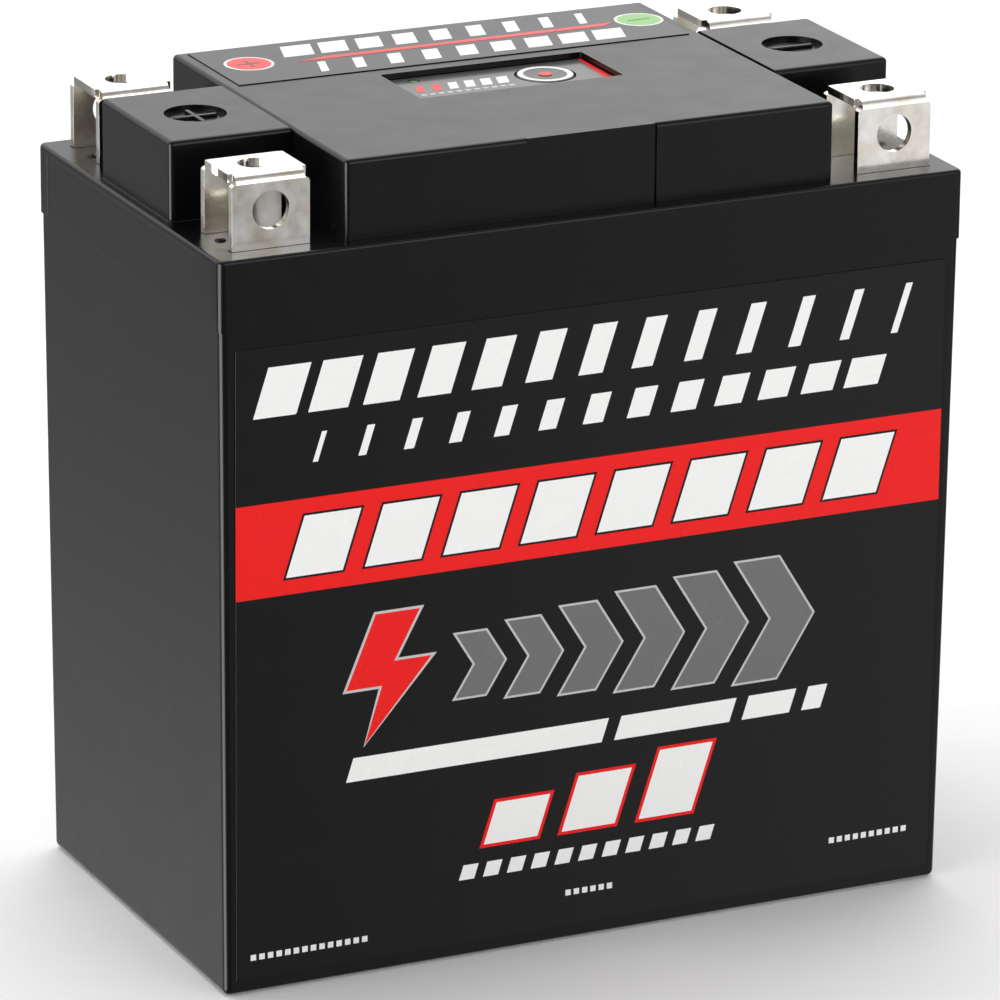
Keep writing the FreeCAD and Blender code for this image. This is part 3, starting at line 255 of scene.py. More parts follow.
@dataclass(frozen=True)
class PrintedFilm:
    """Glossy label film: a hard clear layer over print, with a faint waviness."""

    name: str
    colour: tuple[float, float, float]
    roughness: float = 0.3
    coat: float = 0.6
    coat_roughness: float = 0.09
    ior: float = 1.34

    def build(self) -> bpy.types.Material:
        """Mix the finish.

        Returns:
            The material.
        """
        shader = Shader(self.name)
        mottle = shader.noise(1.1 * MM, 5.0)
        shader.tint(mottle, toned(self.colour, 0.994), toned(self.colour, 1.006))
        rub = shader.noise(9 * MM, 6.0)
        rough = shader.spread(rub, self.roughness - 0.01, self.roughness + 0.02)
        shader.link(rough, shader.surface.inputs["Roughness"])
        shader.set(Coat_Weight=self.coat, Coat_Roughness=self.coat_roughness, IOR=self.ior)
        wave = shader.noise(11 * MM, 1.0)
        peel = shader.noise(0.9 * MM, 2.0)
        shader.bump([(wave, 0.003 * MM), (peel, 0.0001 * MM)])
        return shader.material


@dataclass(frozen=True)
class PlatedMetal:
    """Rolled and plated sheet: bright, with rolling streaks, stains and a slight waviness."""

    name: str
    colour: tuple[float, float, float]
    shade: tuple[float, float, float]
    roughness: float = 0.2
    streak: tuple[float, float, float] = (1.0, 1.0, 0.12)
    wave_depth: float = 0.02 * MM
    line_depth: float = 0.0002 * MM

    def build(self) -> bpy.types.Material:
        """Mix the finish.

        Returns:
            The material.
        """
        shader = Shader(self.name)
        stain = shader.noise(5 * MM, 5.0)
        shader.tint(stain, self.shade, self.colour, 0.25, 0.6)
        shader.set(Metallic=1.0)
        lines = shader.noise(0.35 * MM, 4.0, shader.stretched(self.streak))
        rough = shader.spread(lines, self.roughness - 0.03, self.roughness + 0.04)
        shader.link(rough, shader.surface.inputs["Roughness"])
        wave = shader.noise(4.5 * MM, 1.0)
        shader.bump([(wave, self.wave_depth), (lines, self.line_depth)])
        return shader.material


@dataclass(frozen=True)
class ShrinkSleeve:
    """Thin heat-shrunk film over a round can, with painted shade in the valleys of its folds."""

    name: str
    colour: tuple[float, float, float]

    def build(self) -> bpy.types.Material:
        """Mix the finish.

        Returns:
            The material.
        """
        shader = Shader(self.name)
        fold_relief_and_shade = shader.noise(6 * MM, 3.0, shader.stretched((1.0, 1.0, 0.3)))
        # Painted shade: the valleys of the folds are coloured darker, from the same noise that
        # raises the folds.
        shader.tint(fold_relief_and_shade, toned(self.colour, 0.75), self.colour)
        shader.set(Roughness=0.32, Coat_Weight=0.3)
        shader.bump([(fold_relief_and_shade, 0.05 * MM)])
        return shader.material


@dataclass(frozen=True)
class CircuitBoard:
    """Solder mask over copper tracks that run square to the board's edges."""

    name: str
    mask: tuple[float, float, float]
    track: tuple[float, float, float]

    def build(self) -> bpy.types.Material:
        """Mix the finish.

        Returns:
            The material.
        """
        shader = Shader(self.name)
        tracks = shader.add("ShaderNodeTexBrick")
        tracks.inputs["Scale"].default_value = 90.0
        tracks.inputs["Mortar Size"].default_value = 0.045
        tracks.inputs["Color1"].default_value = (*self.mask, 1.0)
        tracks.inputs["Color2"].default_value = (*toned(self.mask, 0.8), 1.0)
        tracks.inputs["Mortar"].default_value = (*self.track, 1.0)
        shader.link(shader.place, tracks.inputs["Vector"])
        shader.link(tracks.outputs["Color"], shader.surface.inputs["Base Color"])
        shader.set(Roughness=0.35)
        shader.bump([(tracks.outputs["Fac"], 0.03 * MM)])
        return shader.material


@dataclass(frozen=True)
class ClosedFoam:
    """Closed-cell foam with open bubbles at its cut faces, with painted shade darkening each bubble
    towards its middle.
    """

    name: str
    colour: tuple[float, float, float]

    def build(self) -> bpy.types.Material:
        """Mix the finish.

        Returns:
            The material.
        """
        shader = Shader(self.name)
        cells = shader.add("ShaderNodeTexVoronoi")
        cells.inputs["Scale"].default_value = 900.0
        shader.link(shader.place, cells.inputs["Vector"])
        # Painted shade: each bubble is coloured darker towards its middle, where the same cells
        # press the surface in.
        shader.tint(cells.outputs["Distance"], toned(self.colour, 0.5), self.colour, 0.0, 0.6)
        shader.set(Roughness=0.95)
        shader.bump([(cells.outputs["Distance"], 0.3 * MM)])
        return shader.material


class Finish(Enum):
    """Every finish that the battery's own pieces take."""

    HOUSING = MouldedPlastic("housing_black_abs", (0.0024, 0.0024, 0.0026), 0.25, 0.35 * MM,
                             0.0002 * MM, 0.04, 1.34)
    LABEL = PrintedFilm("label_black_film", (0.0026, 0.0026, 0.0028), 0.26, 0.1)
    PANEL = PrintedFilm("panel_grey_film", (0.05, 0.05, 0.052), 0.35, 0.5, 0.12)
    WHITE = PrintedFilm("print_white", (0.82, 0.82, 0.81), 0.26, 0.0)
    RED = PrintedFilm("print_red", (0.78, 0.006, 0.005), 0.26, 0.0)
    GREY = PrintedFilm("print_grey", (0.145, 0.145, 0.15), 0.26, 0.0)
    PALE = PrintedFilm("print_pale_grey", (0.50, 0.50, 0.51), 0.26, 0.0)
    BLACK = PrintedFilm("print_black", (0.006, 0.006, 0.007), 0.26, 0.0)
    GREEN = PrintedFilm("print_green", (0.22, 0.50, 0.12), 0.26, 0.0)
    MAROON = PrintedFilm("print_maroon", (0.16, 0.010, 0.012), 0.26, 0.0)
    MOSS = PrintedFilm("print_moss", (0.07, 0.20, 0.04), 0.26, 0.0)
    NICKEL = PlatedMetal("terminal_nickel", (0.96, 0.94, 0.90), (0.78, 0.71, 0.59), 0.17,
                         (1.0, 1.0, 0.6), 0.045 * MM, 0.0)
    CAP = MouldedPlastic("button_cap_plastic", (0.06, 0.06, 0.062), 0.26, 0.5 * MM, 0.001 * MM)
    LIGHT = MouldedPlastic("status_light_green", (0.02, 0.12, 0.04), 0.12, 1.0 * MM, 0.0 * MM)
    STEEL = PlatedMetal("screw_zinc", (0.62, 0.63, 0.65), (0.48, 0.48, 0.49), 0.32)
    BRASS = PlatedMetal("standoff_brass", (0.78, 0.60, 0.28), (0.62, 0.45, 0.18), 0.3)
    COPPER = PlatedMetal("copper_bar", (0.86, 0.46, 0.29), (0.62, 0.29, 0.16), 0.28)
    NICKEL_STRIP = PlatedMetal("nickel_strip", (0.70, 0.68, 0.63), (0.58, 0.56, 0.52), 0.34)
    ALUMINIUM = PlatedMetal("spreader_aluminium", (0.82, 0.82, 0.83), (0.70, 0.70, 0.72), 0.38)
    SLEEVE = ShrinkSleeve("cell_sleeve", (0.03, 0.16, 0.34))
    CAN = ShrinkSleeve("capacitor_sleeve", (0.03, 0.03, 0.07))
    BOARD = CircuitBoard("circuit_board", (0.01, 0.11, 0.04), (0.03, 0.24, 0.08))
    FOAM = ClosedFoam("closed_foam", (0.05, 0.05, 0.055))
    HOLDER = MouldedPlastic("holder_white_plastic", (0.62, 0.62, 0.60), 0.5)
    EPOXY = MouldedPlastic("chip_epoxy", (0.02, 0.02, 0.02), 0.6, 0.12 * MM)
    FLEX = MouldedPlastic("flex_polyimide", (0.50, 0.23, 0.04), 0.3, 1.0 * MM, 0.001 * MM)
    SOCKET = MouldedPlastic("connector_ivory", (0.66, 0.62, 0.52), 0.45)
    RUBBER = MouldedPlastic("seal_rubber", (0.02, 0.02, 0.02), 0.75, 0.2 * MM)


class Paintbox:
    """Builds each finish once, when it is first asked for."""

    def __init__(self) -> None:
        """Start with no finish built."""
        self.built: dict[Finish, bpy.types.Material] = {}

    def get(self, finish: Finish) -> bpy.types.Material:
        """Return the material of a finish."""
        if finish not in self.built:
            self.built[finish] = finish.value.build()
        return self.built[finish]


PAINT = Paintbox()


# Mesh work -------------------------------------------------------------------------------------


def box_blank(low: Vector, high: Vector) -> BMesh:
    """Make a block between two corners.

    Args:
        low: its lowest corner.
        high: its highest corner.

    Returns:
        The block.
    """
    blank = bmesh.new()
    bmesh.ops.create_cube(blank, size=1.0)
    bmesh.ops.scale(blank, vec=high - low, verts=blank.verts)
    bmesh.ops.translate(blank, vec=(low + high) / 2, verts=blank.verts)
    return blank


def disc_blank(centre: Vector, radius: float, depth: float, axis: str = "Z",
               segments: int = 64) -> BMesh:
    """Make a round plug about its centre.

    Args:
        centre: middle of the plug.
        radius: its radius.
        depth: its length along the axis.
        axis: X, Y or Z.
        segments: sides of the circle.

    Returns:
        The plug.
    """
    blank = bmesh.new()
    bmesh.ops.create_cone(blank, cap_ends=True, segments=segments, radius1=radius,
                          radius2=radius, depth=depth)
    turns = {"X": Matrix.Rotation(math.pi / 2, 4, "Y"), "Y": Matrix.Rotation(math.pi / 2, 4, "X")}
    bmesh.ops.transform(blank, matrix=turns.get(axis, Matrix.Identity(4)), verts=blank.verts)
    bmesh.ops.translate(blank, vec=centre, verts=blank.verts)
    return blank


def round_edges(blank: BMesh, edges: list[bmesh.types.BMEdge], width: float,
                segments: int = 4) -> None:
    """Round some edges of a blank."""
    bmesh.ops.bevel(blank, geom=edges, offset=width, segments=segments, profile=0.5,
                    affect="EDGES", material=-1)


def upright_edges(blank: BMesh) -> list[bmesh.types.BMEdge]:
    """Find the edges that run mostly along Z.

    Args:
        blank: the mesh to look in.

    Returns:
        The edges found.
    """
    found = []
    for edge in blank.edges:
        run = edge.verts[1].co - edge.verts[0].co
        if abs(run.z) > 0.9 * run.length:
            found.append(edge)
    return found


def edges_at(blank: BMesh, height: float) -> list[bmesh.types.BMEdge]:
    """Edges that lie at a height."""
    return [edge for edge in blank.edges
            if all(abs(vert.co.z - height) < 0.01 * MM for vert in edge.verts)]


def as_object(name: str, blank: BMesh) -> bpy.types.Object:
    """Turn a blank into an object in the scene, with its faces outwards.

    Args:
        name: the piece's name.
        blank: the mesh, which is freed.

    Returns:
        The object.
    """
    bmesh.ops.recalc_face_normals(blank, faces=blank.faces)
    mesh = bpy.data.meshes.new(name)
    blank.to_mesh(mesh)
    blank.free()
    piece = bpy.data.objects.new(name, mesh)
    bpy.context.scene.collection.objects.link(piece)
    return piece


def combine(piece: bpy.types.Object, tools: Iterable[BMesh], operation: str) -> None:
    """Cut tools from a piece, or add them to it.

    Args:
        piece: the piece to change.
        tools: closed shapes, which are freed.
        operation: DIFFERENCE or UNION.
    """
    for number, blank in enumerate(tools):
        tool = as_object(f"{piece.name}_tool_{number}", blank)
        step = piece.modifiers.new("combine", "BOOLEAN")
        step.operation = operation
        step.solver = "EXACT"
        step.object = tool
        bpy.context.view_layer.update()
        graph = bpy.context.evaluated_depsgraph_get()
        result = bpy.data.meshes.new_from_object(piece.evaluated_get(graph))
        piece.modifiers.clear()
        spent = piece.data
        piece.data = result
        bpy.data.meshes.remove(spent)
        bpy.data.objects.remove(tool)
    piece.data.name = piece.name


def soften(piece: bpy.types.Object, width: float, segments: int = 2,
           angle: float = 50.0) -> None:
    """Break the sharp edges of a piece and shade it smooth.

    Args:
        piece: the piece.
        width: width of the broken edge.
        segments: facets across it.
        angle: edges sharper than this many degrees are broken.
    """
    edge = piece.modifiers.new("edge_break", "BEVEL")
    edge.width = width
    edge.segments = segments
    edge.limit_method = "ANGLE"
    edge.angle_limit = math.radians(angle)
    edge.harden_normals = True
    edge.use_clamp_overlap = True
    piece.data.shade_smooth()
    even = piece.modifiers.new("even_shading", "WEIGHTED_NORMAL")
    even.keep_sharp = True
    even.mode = "FACE_AREA_WITH_ANGLE"


def dress(piece: bpy.types.Object, finish: Finish, body: str,
          replaced: Sequence[str] = ()) -> bpy.types.Object:
    """Finish a piece and let it ride on its body.

    Args:
        piece: the piece.
        finish: what it is made of.
        body: the body it moves with.
        replaced: the solids that it stands for.

    Returns:
        The piece.
    """
    piece.data.materials.clear()
    piece.data.materials.append(PAINT.get(finish))
    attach(piece, body)
    if replaced:
        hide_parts(*replaced)
    LOG.info("%s: %d faces on %s", piece.name, len(piece.data.polygons), body)
    return piece


# Housing ---------------------------------------------------------------------------------------


@dataclass
class Case:
    """The drafted tub that holds the cells."""

    draft: float = math.radians(0.35)
    corner: float = 1.4 * MM
    wall: float = 3.0 * MM
    floor: float = 3.0 * MM

    def build(self) -> None:
        """Shape the tub from a block and hollow it from above."""
        low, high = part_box("battery_case")
        tub = box_blank(low, high)
        draw = (high.z - low.z) * math.tan(self.draft)
        for vert in tub.verts:
            if vert.co.z < low.z + self.floor:
                vert.co.x -= math.copysign(draw, vert.co.x)
                vert.co.y -= math.copysign(draw, vert.co.y)
        round_edges(tub, upright_edges(tub) + edges_at(tub, low.z), self.corner, 5)
        mouth = max(tub.faces, key=lambda face: face.calc_center_median().z)
        bmesh.ops.inset_region(tub, faces=[mouth], thickness=self.wall, use_even_offset=True)
        pit = bmesh.ops.extrude_discrete_faces(tub, faces=[mouth])["faces"][0]
        bmesh.ops.translate(tub, vec=(0, 0, self.floor - high.z), verts=pit.verts)
        shrink = 1 - draw / (high.y - self.wall)
        bmesh.ops.scale(tub, vec=(shrink, shrink, 1), verts=pit.verts)
        piece = as_object("case_tub", tub)
        soften(piece, 0.12 * MM)
        dress(piece, Finish.HOUSING, BATTERY, ["battery_case"])


@dataclass
class Lid:
    """The lid: skirt, deck, ears with polarity marks and slots for the terminal legs."""

    corner: float = 1.4 * MM
    rim: float = 0.7 * MM
    wall: float = 2.4 * MM
    deck: float = 3.0 * MM
    ear_margin: float = 1.9 * MM
    ear_gap: float = 0.2 * MM
    ear_half_depth: float = 16.2 * MM
    ear_edge: float = 0.9 * MM
    mark_radius: float = 5.75 * MM
    mark_depth: float = 1.0 * MM
    bar_length: float = 8.4 * MM
    bar_width: float = 0.9 * MM
    bar_height: float = 0.6 * MM
    slot_clearance: float = 0.15 * MM
    strap_thickness: float = 1.5 * MM
    strap_span: float = 14.1 * MM
    panel_depth: float = 0.16 * MM
    panel_front: float = 33.6 * MM
    panel_rear: float = 38.6 * MM
    pip_across: float = 69.2 * MM
    pip_back: float = 30.1 * MM
    pip_radius: float = 1.1 * MM

    def build(self) -> None:
        """Shape the skirt and the ears, then cut the hollows."""
        low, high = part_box("lid")
        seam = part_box("battery_case")[1].z
        cover_low, cover_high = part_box("centre_cover")
        level = cover_low.z
        skirt = box_blank(Vector((low.x, low.y, seam)), Vector((high.x, high.y, level)))
        round_edges(skirt, upright_edges(skirt), self.corner, 5)
        round_edges(skirt, edges_at(skirt, level), self.rim, 3)
        piece = as_object("lid_shell", skirt)
        inner = cover_high.x + self.ear_gap
        outer = high.x - self.ear_margin
        combine(piece, self.ears(inner, outer, level, high.z), "UNION")
        combine(piece, self.hollows(seam, level, high), "DIFFERENCE")
        combine(piece, self.marks((inner + outer) / 2, high.z), "DIFFERENCE")
        combine(piece, self.side_panels(seam, level, high.x), "DIFFERENCE")
        soften(piece, 0.15 * MM, 2, 60.0)
        dress(piece, Finish.HOUSING, BATTERY, ["lid"])
        bars = self.bars((inner + outer) / 2, high.z - self.mark_depth)
        soften(bars, 0.2 * MM, 3)
        dress(bars, Finish.HOUSING, BATTERY)
        pips = self.pips(level)
        pips.data.shade_smooth()
        dress(pips, Finish.HOUSING, BATTERY)

    def ears(self, inner: float, outer: float, level: float, top: float) -> list[BMesh]:
        """Blocks beside the centre cover.

        Args:
            inner: inner face, from the middle.
            outer: outer face, from the middle.
            level: height of the deck.
            top: height of their tops.

        Returns:
            One blank for each side.
        """
        blanks = []
        sunk = 1.0 * MM
        for side in SIDES:
            near, far = sorted((side * inner, side * outer))
            ear = box_blank(Vector((near, -self.ear_half_depth, level - sunk)),
                            Vector((far, self.ear_half_depth, top)))
            outside = [edge for edge in upright_edges(ear)
                       if abs(edge.verts[0].co.x) > (inner + outer) / 2]
            crown = [edge for edge in edges_at(ear, top)
                     if max(abs(vert.co.x) for vert in edge.verts) > (inner + outer) / 2]
            round_edges(ear, outside + crown, self.ear_edge, 4)
            blanks.append(ear)
        return blanks

    def hollows(self, seam: float, level: float, high: Vector) -> list[BMesh]:
        """The room under the deck, and the slots of the terminal legs.

        Args:
            seam: height of the lid's lower edge.
            level: height of the deck.
            high: highest corner of the lid.

        Returns:
            The shapes to cut away.
        """
        reach = Vector((high.x - self.wall, high.y - self.wall, 0))
        under = level - self.deck
        room = box_blank(Vector((-reach.x, -reach.y, seam - MM)), Vector((reach.x, reach.y, under)))
        blanks = [room]
        slack = Vector((self.slot_clearance,) * 2)
        for name in terminal_names():
            low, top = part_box(name)
            side = math.copysign(1, low.y + top.y)
            face = max(abs(low.y), abs(top.y))
            inside = face - self.strap_span
            for near in (inside, face - self.strap_thickness):
                ends = sorted((side * near, side * (near + self.strap_thickness)))
                blanks.append(box_blank(
                    Vector((low.x - slack.x, ends[0] - slack.y, under - MM)),
                    Vector((top.x + slack.x, ends[1] + slack.y, level + MM))))
        return blanks

    def marks(self, offset: float, top: float) -> list[BMesh]:
        """Round recesses in the ears, centred at an offset each side."""
        return [disc_blank(Vector((side * offset, 0, top)), self.mark_radius,
                           2 * self.mark_depth, segments=96) for side in SIDES]

    def side_panels(self, seam: float, level: float, edge: float) -> list[BMesh]:
        """Lay out the shallow panels sunk in the two short sides of the skirt.

        Args:
            seam: height of the seam between case and lid.
            level: height of the deck.
            edge: how far the skirt reaches along X.

        Returns:
            A cut for each side.
        """
        sunk = self.panel_depth
        blanks = []
        for side in SIDES:
            near, far = sorted((side * (edge - sunk), side * (edge + sunk)))
            blanks.append(box_blank(Vector((near, -self.panel_front, seam - MM)),
                                    Vector((far, self.panel_rear, level - self.corner))))
        return blanks

    def pips(self, level: float) -> bpy.types.Object:
        """Raise low round gate marks on the deck, one inside each terminal.

        Args:
            level: height of the deck.

        Returns:
            The object that holds all four.
        """
        marks = bmesh.new()
        for across in SIDES:
            for back in SIDES:
                dome = bmesh.new()
                bmesh.ops.create_uvsphere(dome, u_segments=24, v_segments=12,
                                          radius=self.pip_radius)
                bmesh.ops.scale(dome, vec=(1, 1, 0.4), verts=dome.verts)
                bmesh.ops.translate(dome, verts=dome.verts,
                                    vec=(across * self.pip_across, back * self.pip_back, level))
                absorb(marks, dome)
        return as_object("gate_marks", marks)

    def bars(self, offset: float, base: float) -> bpy.types.Object:
        """Raised plus and minus on the floor of the recesses.

        Args:
            offset: centre of each mark, from the middle.
            base: height of the recess floor.

        Returns:
            The object that holds both.
        """
        marks = bmesh.new()
        half = Vector((self.bar_length / 2, self.bar_width / 2, 0))
        for side in SIDES:
            bar = box_blank(Vector((side * offset - half.x, -half.y, base - 0.1 * MM)),
                            Vector((side * offset + half.x, half.y, base + self.bar_height)))
            absorb(marks, bar)
        piece = as_object("polarity_bars", marks)
        cross = box_blank(Vector((-offset - half.y, -half.x, base - 0.1 * MM)),
                          Vector((-offset + half.y, half.x, base + self.bar_height)))
        combine(piece, [cross], "UNION")
        return piece


def lathed(section: Sequence[Point], centre: Vector, steps: int) -> BMesh:
    """Turn a section, which starts and ends on the axis, round Z.

    Args:
        section: radius and height of each corner.
        centre: a point on the axis.
        steps: number of facets round the axis.

    Returns:
        The turned mesh.
    """
    turned = bmesh.new()
    ends = [turned.verts.new((centre.x, centre.y, section[place][1])) for place in (0, -1)]
    rings = []
    for radius, height in section[1:-1]:
        angles = [2 * math.pi * step / steps for step in range(steps)]
        rings.append([turned.verts.new((centre.x + radius * math.cos(angle),
                                        centre.y + radius * math.sin(angle), height))
                      for angle in angles])
    for step in range(steps):
        beside = (step + 1) % steps
        turned.faces.new((ends[0], rings[0][step], rings[0][beside]))
        turned.faces.new((ends[1], rings[-1][beside], rings[-1][step]))
        for ring, following in zip(rings, rings[1:]):
            turned.faces.new((ring[step], following[step], following[beside], ring[beside]))
    return turned


def absorb(target: BMesh, source: BMesh) -> None:
    """Copy a blank into another, and free it.

    Args:
        target: the mesh that grows.
        source: the blank that is used up.
    """
    spare = bpy.data.meshes.new("spare")
    source.to_mesh(spare)
    source.free()
    target.from_mesh(spare)
    bpy.data.meshes.remove(spare)


@dataclass
class Cover:
    """The raised block across the lid, with the recess of the button panel."""

    edge: float = 0.9 * MM
    wall: float = 2.4 * MM
    top: float = 3.4 * MM
    recess: float = 1.4 * MM
    panel_gap: float = 0.4 * MM
    clearance: float = 0.3 * MM
    groove: float = 12.45 * MM
    groove_width: float = 0.4 * MM
    groove_depth: float = 0.45 * MM
    sharp_start: float = -13.35 * MM

    def build(self) -> None:
        """Shape the block, then cut the room, the recess, the holes and the groove."""
        low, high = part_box("centre_cover")
        block = box_blank(low, high)
        round_edges(block, upright_edges(block) + edges_at(block, high.z), self.edge, 4)
        piece = as_object("cover_block", block)
        inset = Vector((self.wall, self.wall, 0))
        room = box_blank(low + inset - Vector((0, 0, MM)), high - inset - Vector((0, 0, self.top)))
        panel_low, panel_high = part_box("panel_label")
        gap = Vector((self.panel_gap, self.panel_gap, 0))
        recess = box_blank(panel_low - gap, panel_high + gap + Vector((0, 0, 2 * self.recess)))
        round_edges(recess, upright_edges(recess), 0.5 * MM, 3)
        cap_low, cap_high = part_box("restart_button")
        well = disc_blank((cap_low + cap_high) / 2, 5.5 * MM + self.clearance, 12 * MM)
        pipe_low, pipe_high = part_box("status_light")
        bore = disc_blank((pipe_low + pipe_high) / 2, (pipe_high.x - pipe_low.x) / 2 + 0.1 * MM,
                          12 * MM, segments=32)
        crest = box_blank(Vector((self.sharp_start, low.y, high.z - 2 * self.edge)),
                          Vector((self.groove, low.y + 2 * self.edge, high.z)))
        groove = box_blank(Vector((self.groove, low.y - MM, low.z - MM)),
                           Vector((self.groove + self.groove_width, low.y + self.groove_depth,
                                   high.z + MM)))
        combine(piece, [crest], "UNION")
        combine(piece, [room, recess, well, bore, groove], "DIFFERENCE")
        soften(piece, 0.12 * MM, 2, 60.0)
        dress(piece, Finish.HOUSING, BATTERY, ["centre_cover"])


# Terminals -------------------------------------------------------------------------------------


def terminal_names() -> list[str]:
    """Names of the four terminals."""
    return [f"terminal_{sign}_{end}" for sign in ("positive", "negative")
            for end in ("front", "rear")]


@dataclass
class Terminal:
    """A folded strap with relieved bends, bolt holes and a foot under the deck."""

    name: str
    thickness: float = 1.5 * MM
    span: float = 14.1 * MM
    bend: float = 1.9 * MM
    leg_drop: float = 3.0 * MM
    deck: float = 3.0 * MM
    relief_depth: float = 0.9 * MM
    relief_drop: float = 1.6 * MM
    plate_corner: float = 0.8 * MM
    side_hole: float = 3.6 * MM
    side_hole_rise: float = 7.1 * MM
    top_hole: float = 3.2 * MM
    top_hole_inset: float = 7.05 * MM
    foot_hole: float = 2.1 * MM
    bend_steps: int = 12

    def build(self) -> None:
        """Fold the strap, cut it, and turn it to its end of the battery."""
        low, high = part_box(self.name)
        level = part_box("centre_cover")[0].z
        rear = low.y + high.y > 0
        face = high.y if rear else -low.y
        foot_end = low.y if rear else -high.y
        strap = self.fold(low, high, face, foot_end, level)
        if not rear:
            bmesh.ops.scale(strap, vec=(1, -1, 1), verts=strap.verts)
        piece = as_object(self.name + "_strap", strap)
        side = 1 if rear else -1
        combine(piece, self.reliefs(low, high, side, face), "DIFFERENCE")
        combine(piece, self.holes((low.x + high.x) / 2, high.z, side, face, foot_end, level),
                "DIFFERENCE")
        soften(piece, 0.22 * MM, 3, 40.0)
        dress(piece, Finish.NICKEL, BATTERY, [self.name])

    def fold(self, low: Vector, high: Vector, face: float, foot_end: float,
             level: float) -> BMesh:
        """Draw the strap's section around its bends.

        Args:
            low: lowest corner of the terminal.
            high: highest corner of the terminal.
            face: outer plate's outer face, from the middle.
            foot_end: inner end of the foot, from the middle.
            level: height of the deck.

        Returns:
            The folded strap, as at the rear of the battery.
        """
        outer = high.z - self.bend
        inside = self.bend - self.thickness
        start = level - self.deck - self.leg_drop
        path = [(Vector((0, face - self.thickness, start)), Vector((0, face, start)))]
        self.run(path, Vector((0, 0, outer - start)))
        self.turn(path, Vector((0, face - self.bend, outer)), 90.0)
        self.run(path, Vector((0, 2 * self.bend - self.span, 0)))
        self.turn(path, Vector((0, face - self.span + self.bend, outer)), 90.0)
        low_bend = low.z + self.thickness + inside
        self.run(path, Vector((0, 0, low_bend - outer)))
        centre = Vector((0, face - self.span - inside, low_bend))
        self.turn(path, centre, -90.0)
        self.run(path, Vector((0, foot_end - centre.y, 0)))
        strap = bmesh.new()
        rings = [[strap.verts.new((x, point.y, point.z)) for x, point in
                  ((low.x, one), (high.x, one), (high.x, two), (low.x, two))]
                 for one, two in path]
        for ring, following in zip(rings, rings[1:]):
            for corner in range(4):
                beside = (corner + 1) % 4
                strap.faces.new((ring[corner], ring[beside], following[beside],
                                 following[corner]))
        strap.faces.new(reversed(rings[0]))
        strap.faces.new(rings[-1])
        return strap

    def run(self, path: list[tuple[Vector, Vector]], step: Vector) -> None:
        """Draw the section straight on.

        Args:
            path: both sides of the sheet so far.
            step: how far it goes.
        """
        path.append((path[-1][0] + step, path[-1][1] + step))

    def turn(self, path: list[tuple[Vector, Vector]], centre: Vector, degrees: float) -> None:
        """Draw the section round a bend.

        Args:
            path: both sides of the sheet so far.
            centre: a point on the bend's axis, which runs along X.
            degrees: how far it turns.
        """
        step = Matrix.Rotation(math.radians(degrees / self.bend_steps), 3, "X")
        for _ in range(self.bend_steps):
            path.append((centre + step @ (path[-1][0] - centre),
                         centre + step @ (path[-1][1] - centre)))

    def reliefs(self, low: Vector, high: Vector, side: int, face: float) -> list[BMesh]:
        """Cuts that leave each bend narrower, and round the plate corners below them.

        Args:
            low: lowest corner of the terminal.
            high: highest corner of the terminal.
            side: 1 at the rear of the battery, -1 at the front.
            face: outer plate's outer face, from the middle.

        Returns:
            The shapes to cut away.
        """
        blanks = []
        base = high.z - self.relief_drop
        inner = face - self.span
        for edge, out in ((low.x, -1), (high.x, 1)):
            near, far = sorted((edge - out * self.relief_depth, edge + out * self.relief_depth))
            for start, end in ((face - self.bend, face + MM), (inner - MM, inner + self.bend)):
                front, back = sorted((side * start, side * end))
                blanks.append(box_blank(Vector((near, front, base)),
                                        Vector((far, back, high.z + MM))))
            blanks.append(self.corner_cutter(edge, out, side, face, base))
        return blanks

    def corner_cutter(self, edge: float, out: int, side: int, face: float,
                      base: float) -> BMesh:
        """Shape that rounds the upper corners of both upright plates at one edge.

        Args:
            edge: the edge's place along X.
            out: direction that leaves the strap, along X.
            side: 1 at the rear of the battery, -1 at the front.
            face: outer plate's outer face, from the middle.
            base: height of the corners.

        Returns:
            The shape to cut away.
        """
        radius = self.plate_corner
        middle = edge - out * radius
        slack = 0.04 * MM
        outline = [(middle, base + slack), (edge + out * slack, base + slack),
                   (edge + out * slack, base - radius)]
        for step in range(self.bend_steps + 1):
            angle = math.radians(90) * step / self.bend_steps
            outline.append((middle + out * radius * math.cos(angle),
                            base - radius + radius * math.sin(angle)))
        start = side * (face + MM)
        length = -side * (self.span + 2 * MM)
        cutter = bmesh.new()
        near = [cutter.verts.new((x, start, z)) for x, z in outline]
        step = Vector((0, length, 0))
        beyond = [cutter.verts.new(vert.co + step) for vert in near]
        cutter.faces.new(near)
        cutter.faces.new(reversed(beyond))
        for here, there in zip(range(len(near)), [*range(1, len(near)), 0]):
            cutter.faces.new((near[here], beyond[here], beyond[there], near[there]))
        bmesh.ops.remove_doubles(cutter, verts=cutter.verts, dist=0.0005 * MM)
        bmesh.ops.recalc_face_normals(cutter, faces=cutter.faces)
        return cutter

    def holes(self, across: float, top: float, side: int, face: float, foot_end: float,
              level: float) -> list[BMesh]:
        """Drill the outer and the top plate for bolts, and the foot for its screw.

        Args:
            across: middle of the strap along X.
            top: height of the top plate.
            side: 1 at the rear of the battery, -1 at the front.
            face: outer plate's outer face, from the middle.
            foot_end: inner end of the foot, from the middle.
            level: height of the deck.

        Returns:
            The three cuts.
        """
        inner = face - self.span
        return [
            disc_blank(Vector((across, side * face, level + self.side_hole_rise)),
                       self.side_hole, 8 * MM, "Y"),
            disc_blank(Vector((across, side * (face - self.top_hole_inset), top)),
                       self.top_hole, 6 * MM),
            disc_blank(Vector((across, side * (inner + foot_end) / 2, level - 8 * MM)),
                       self.foot_hole, 8 * MM, segments=32),
        ]


# Labels and their print ------------------------------------------------------------------------


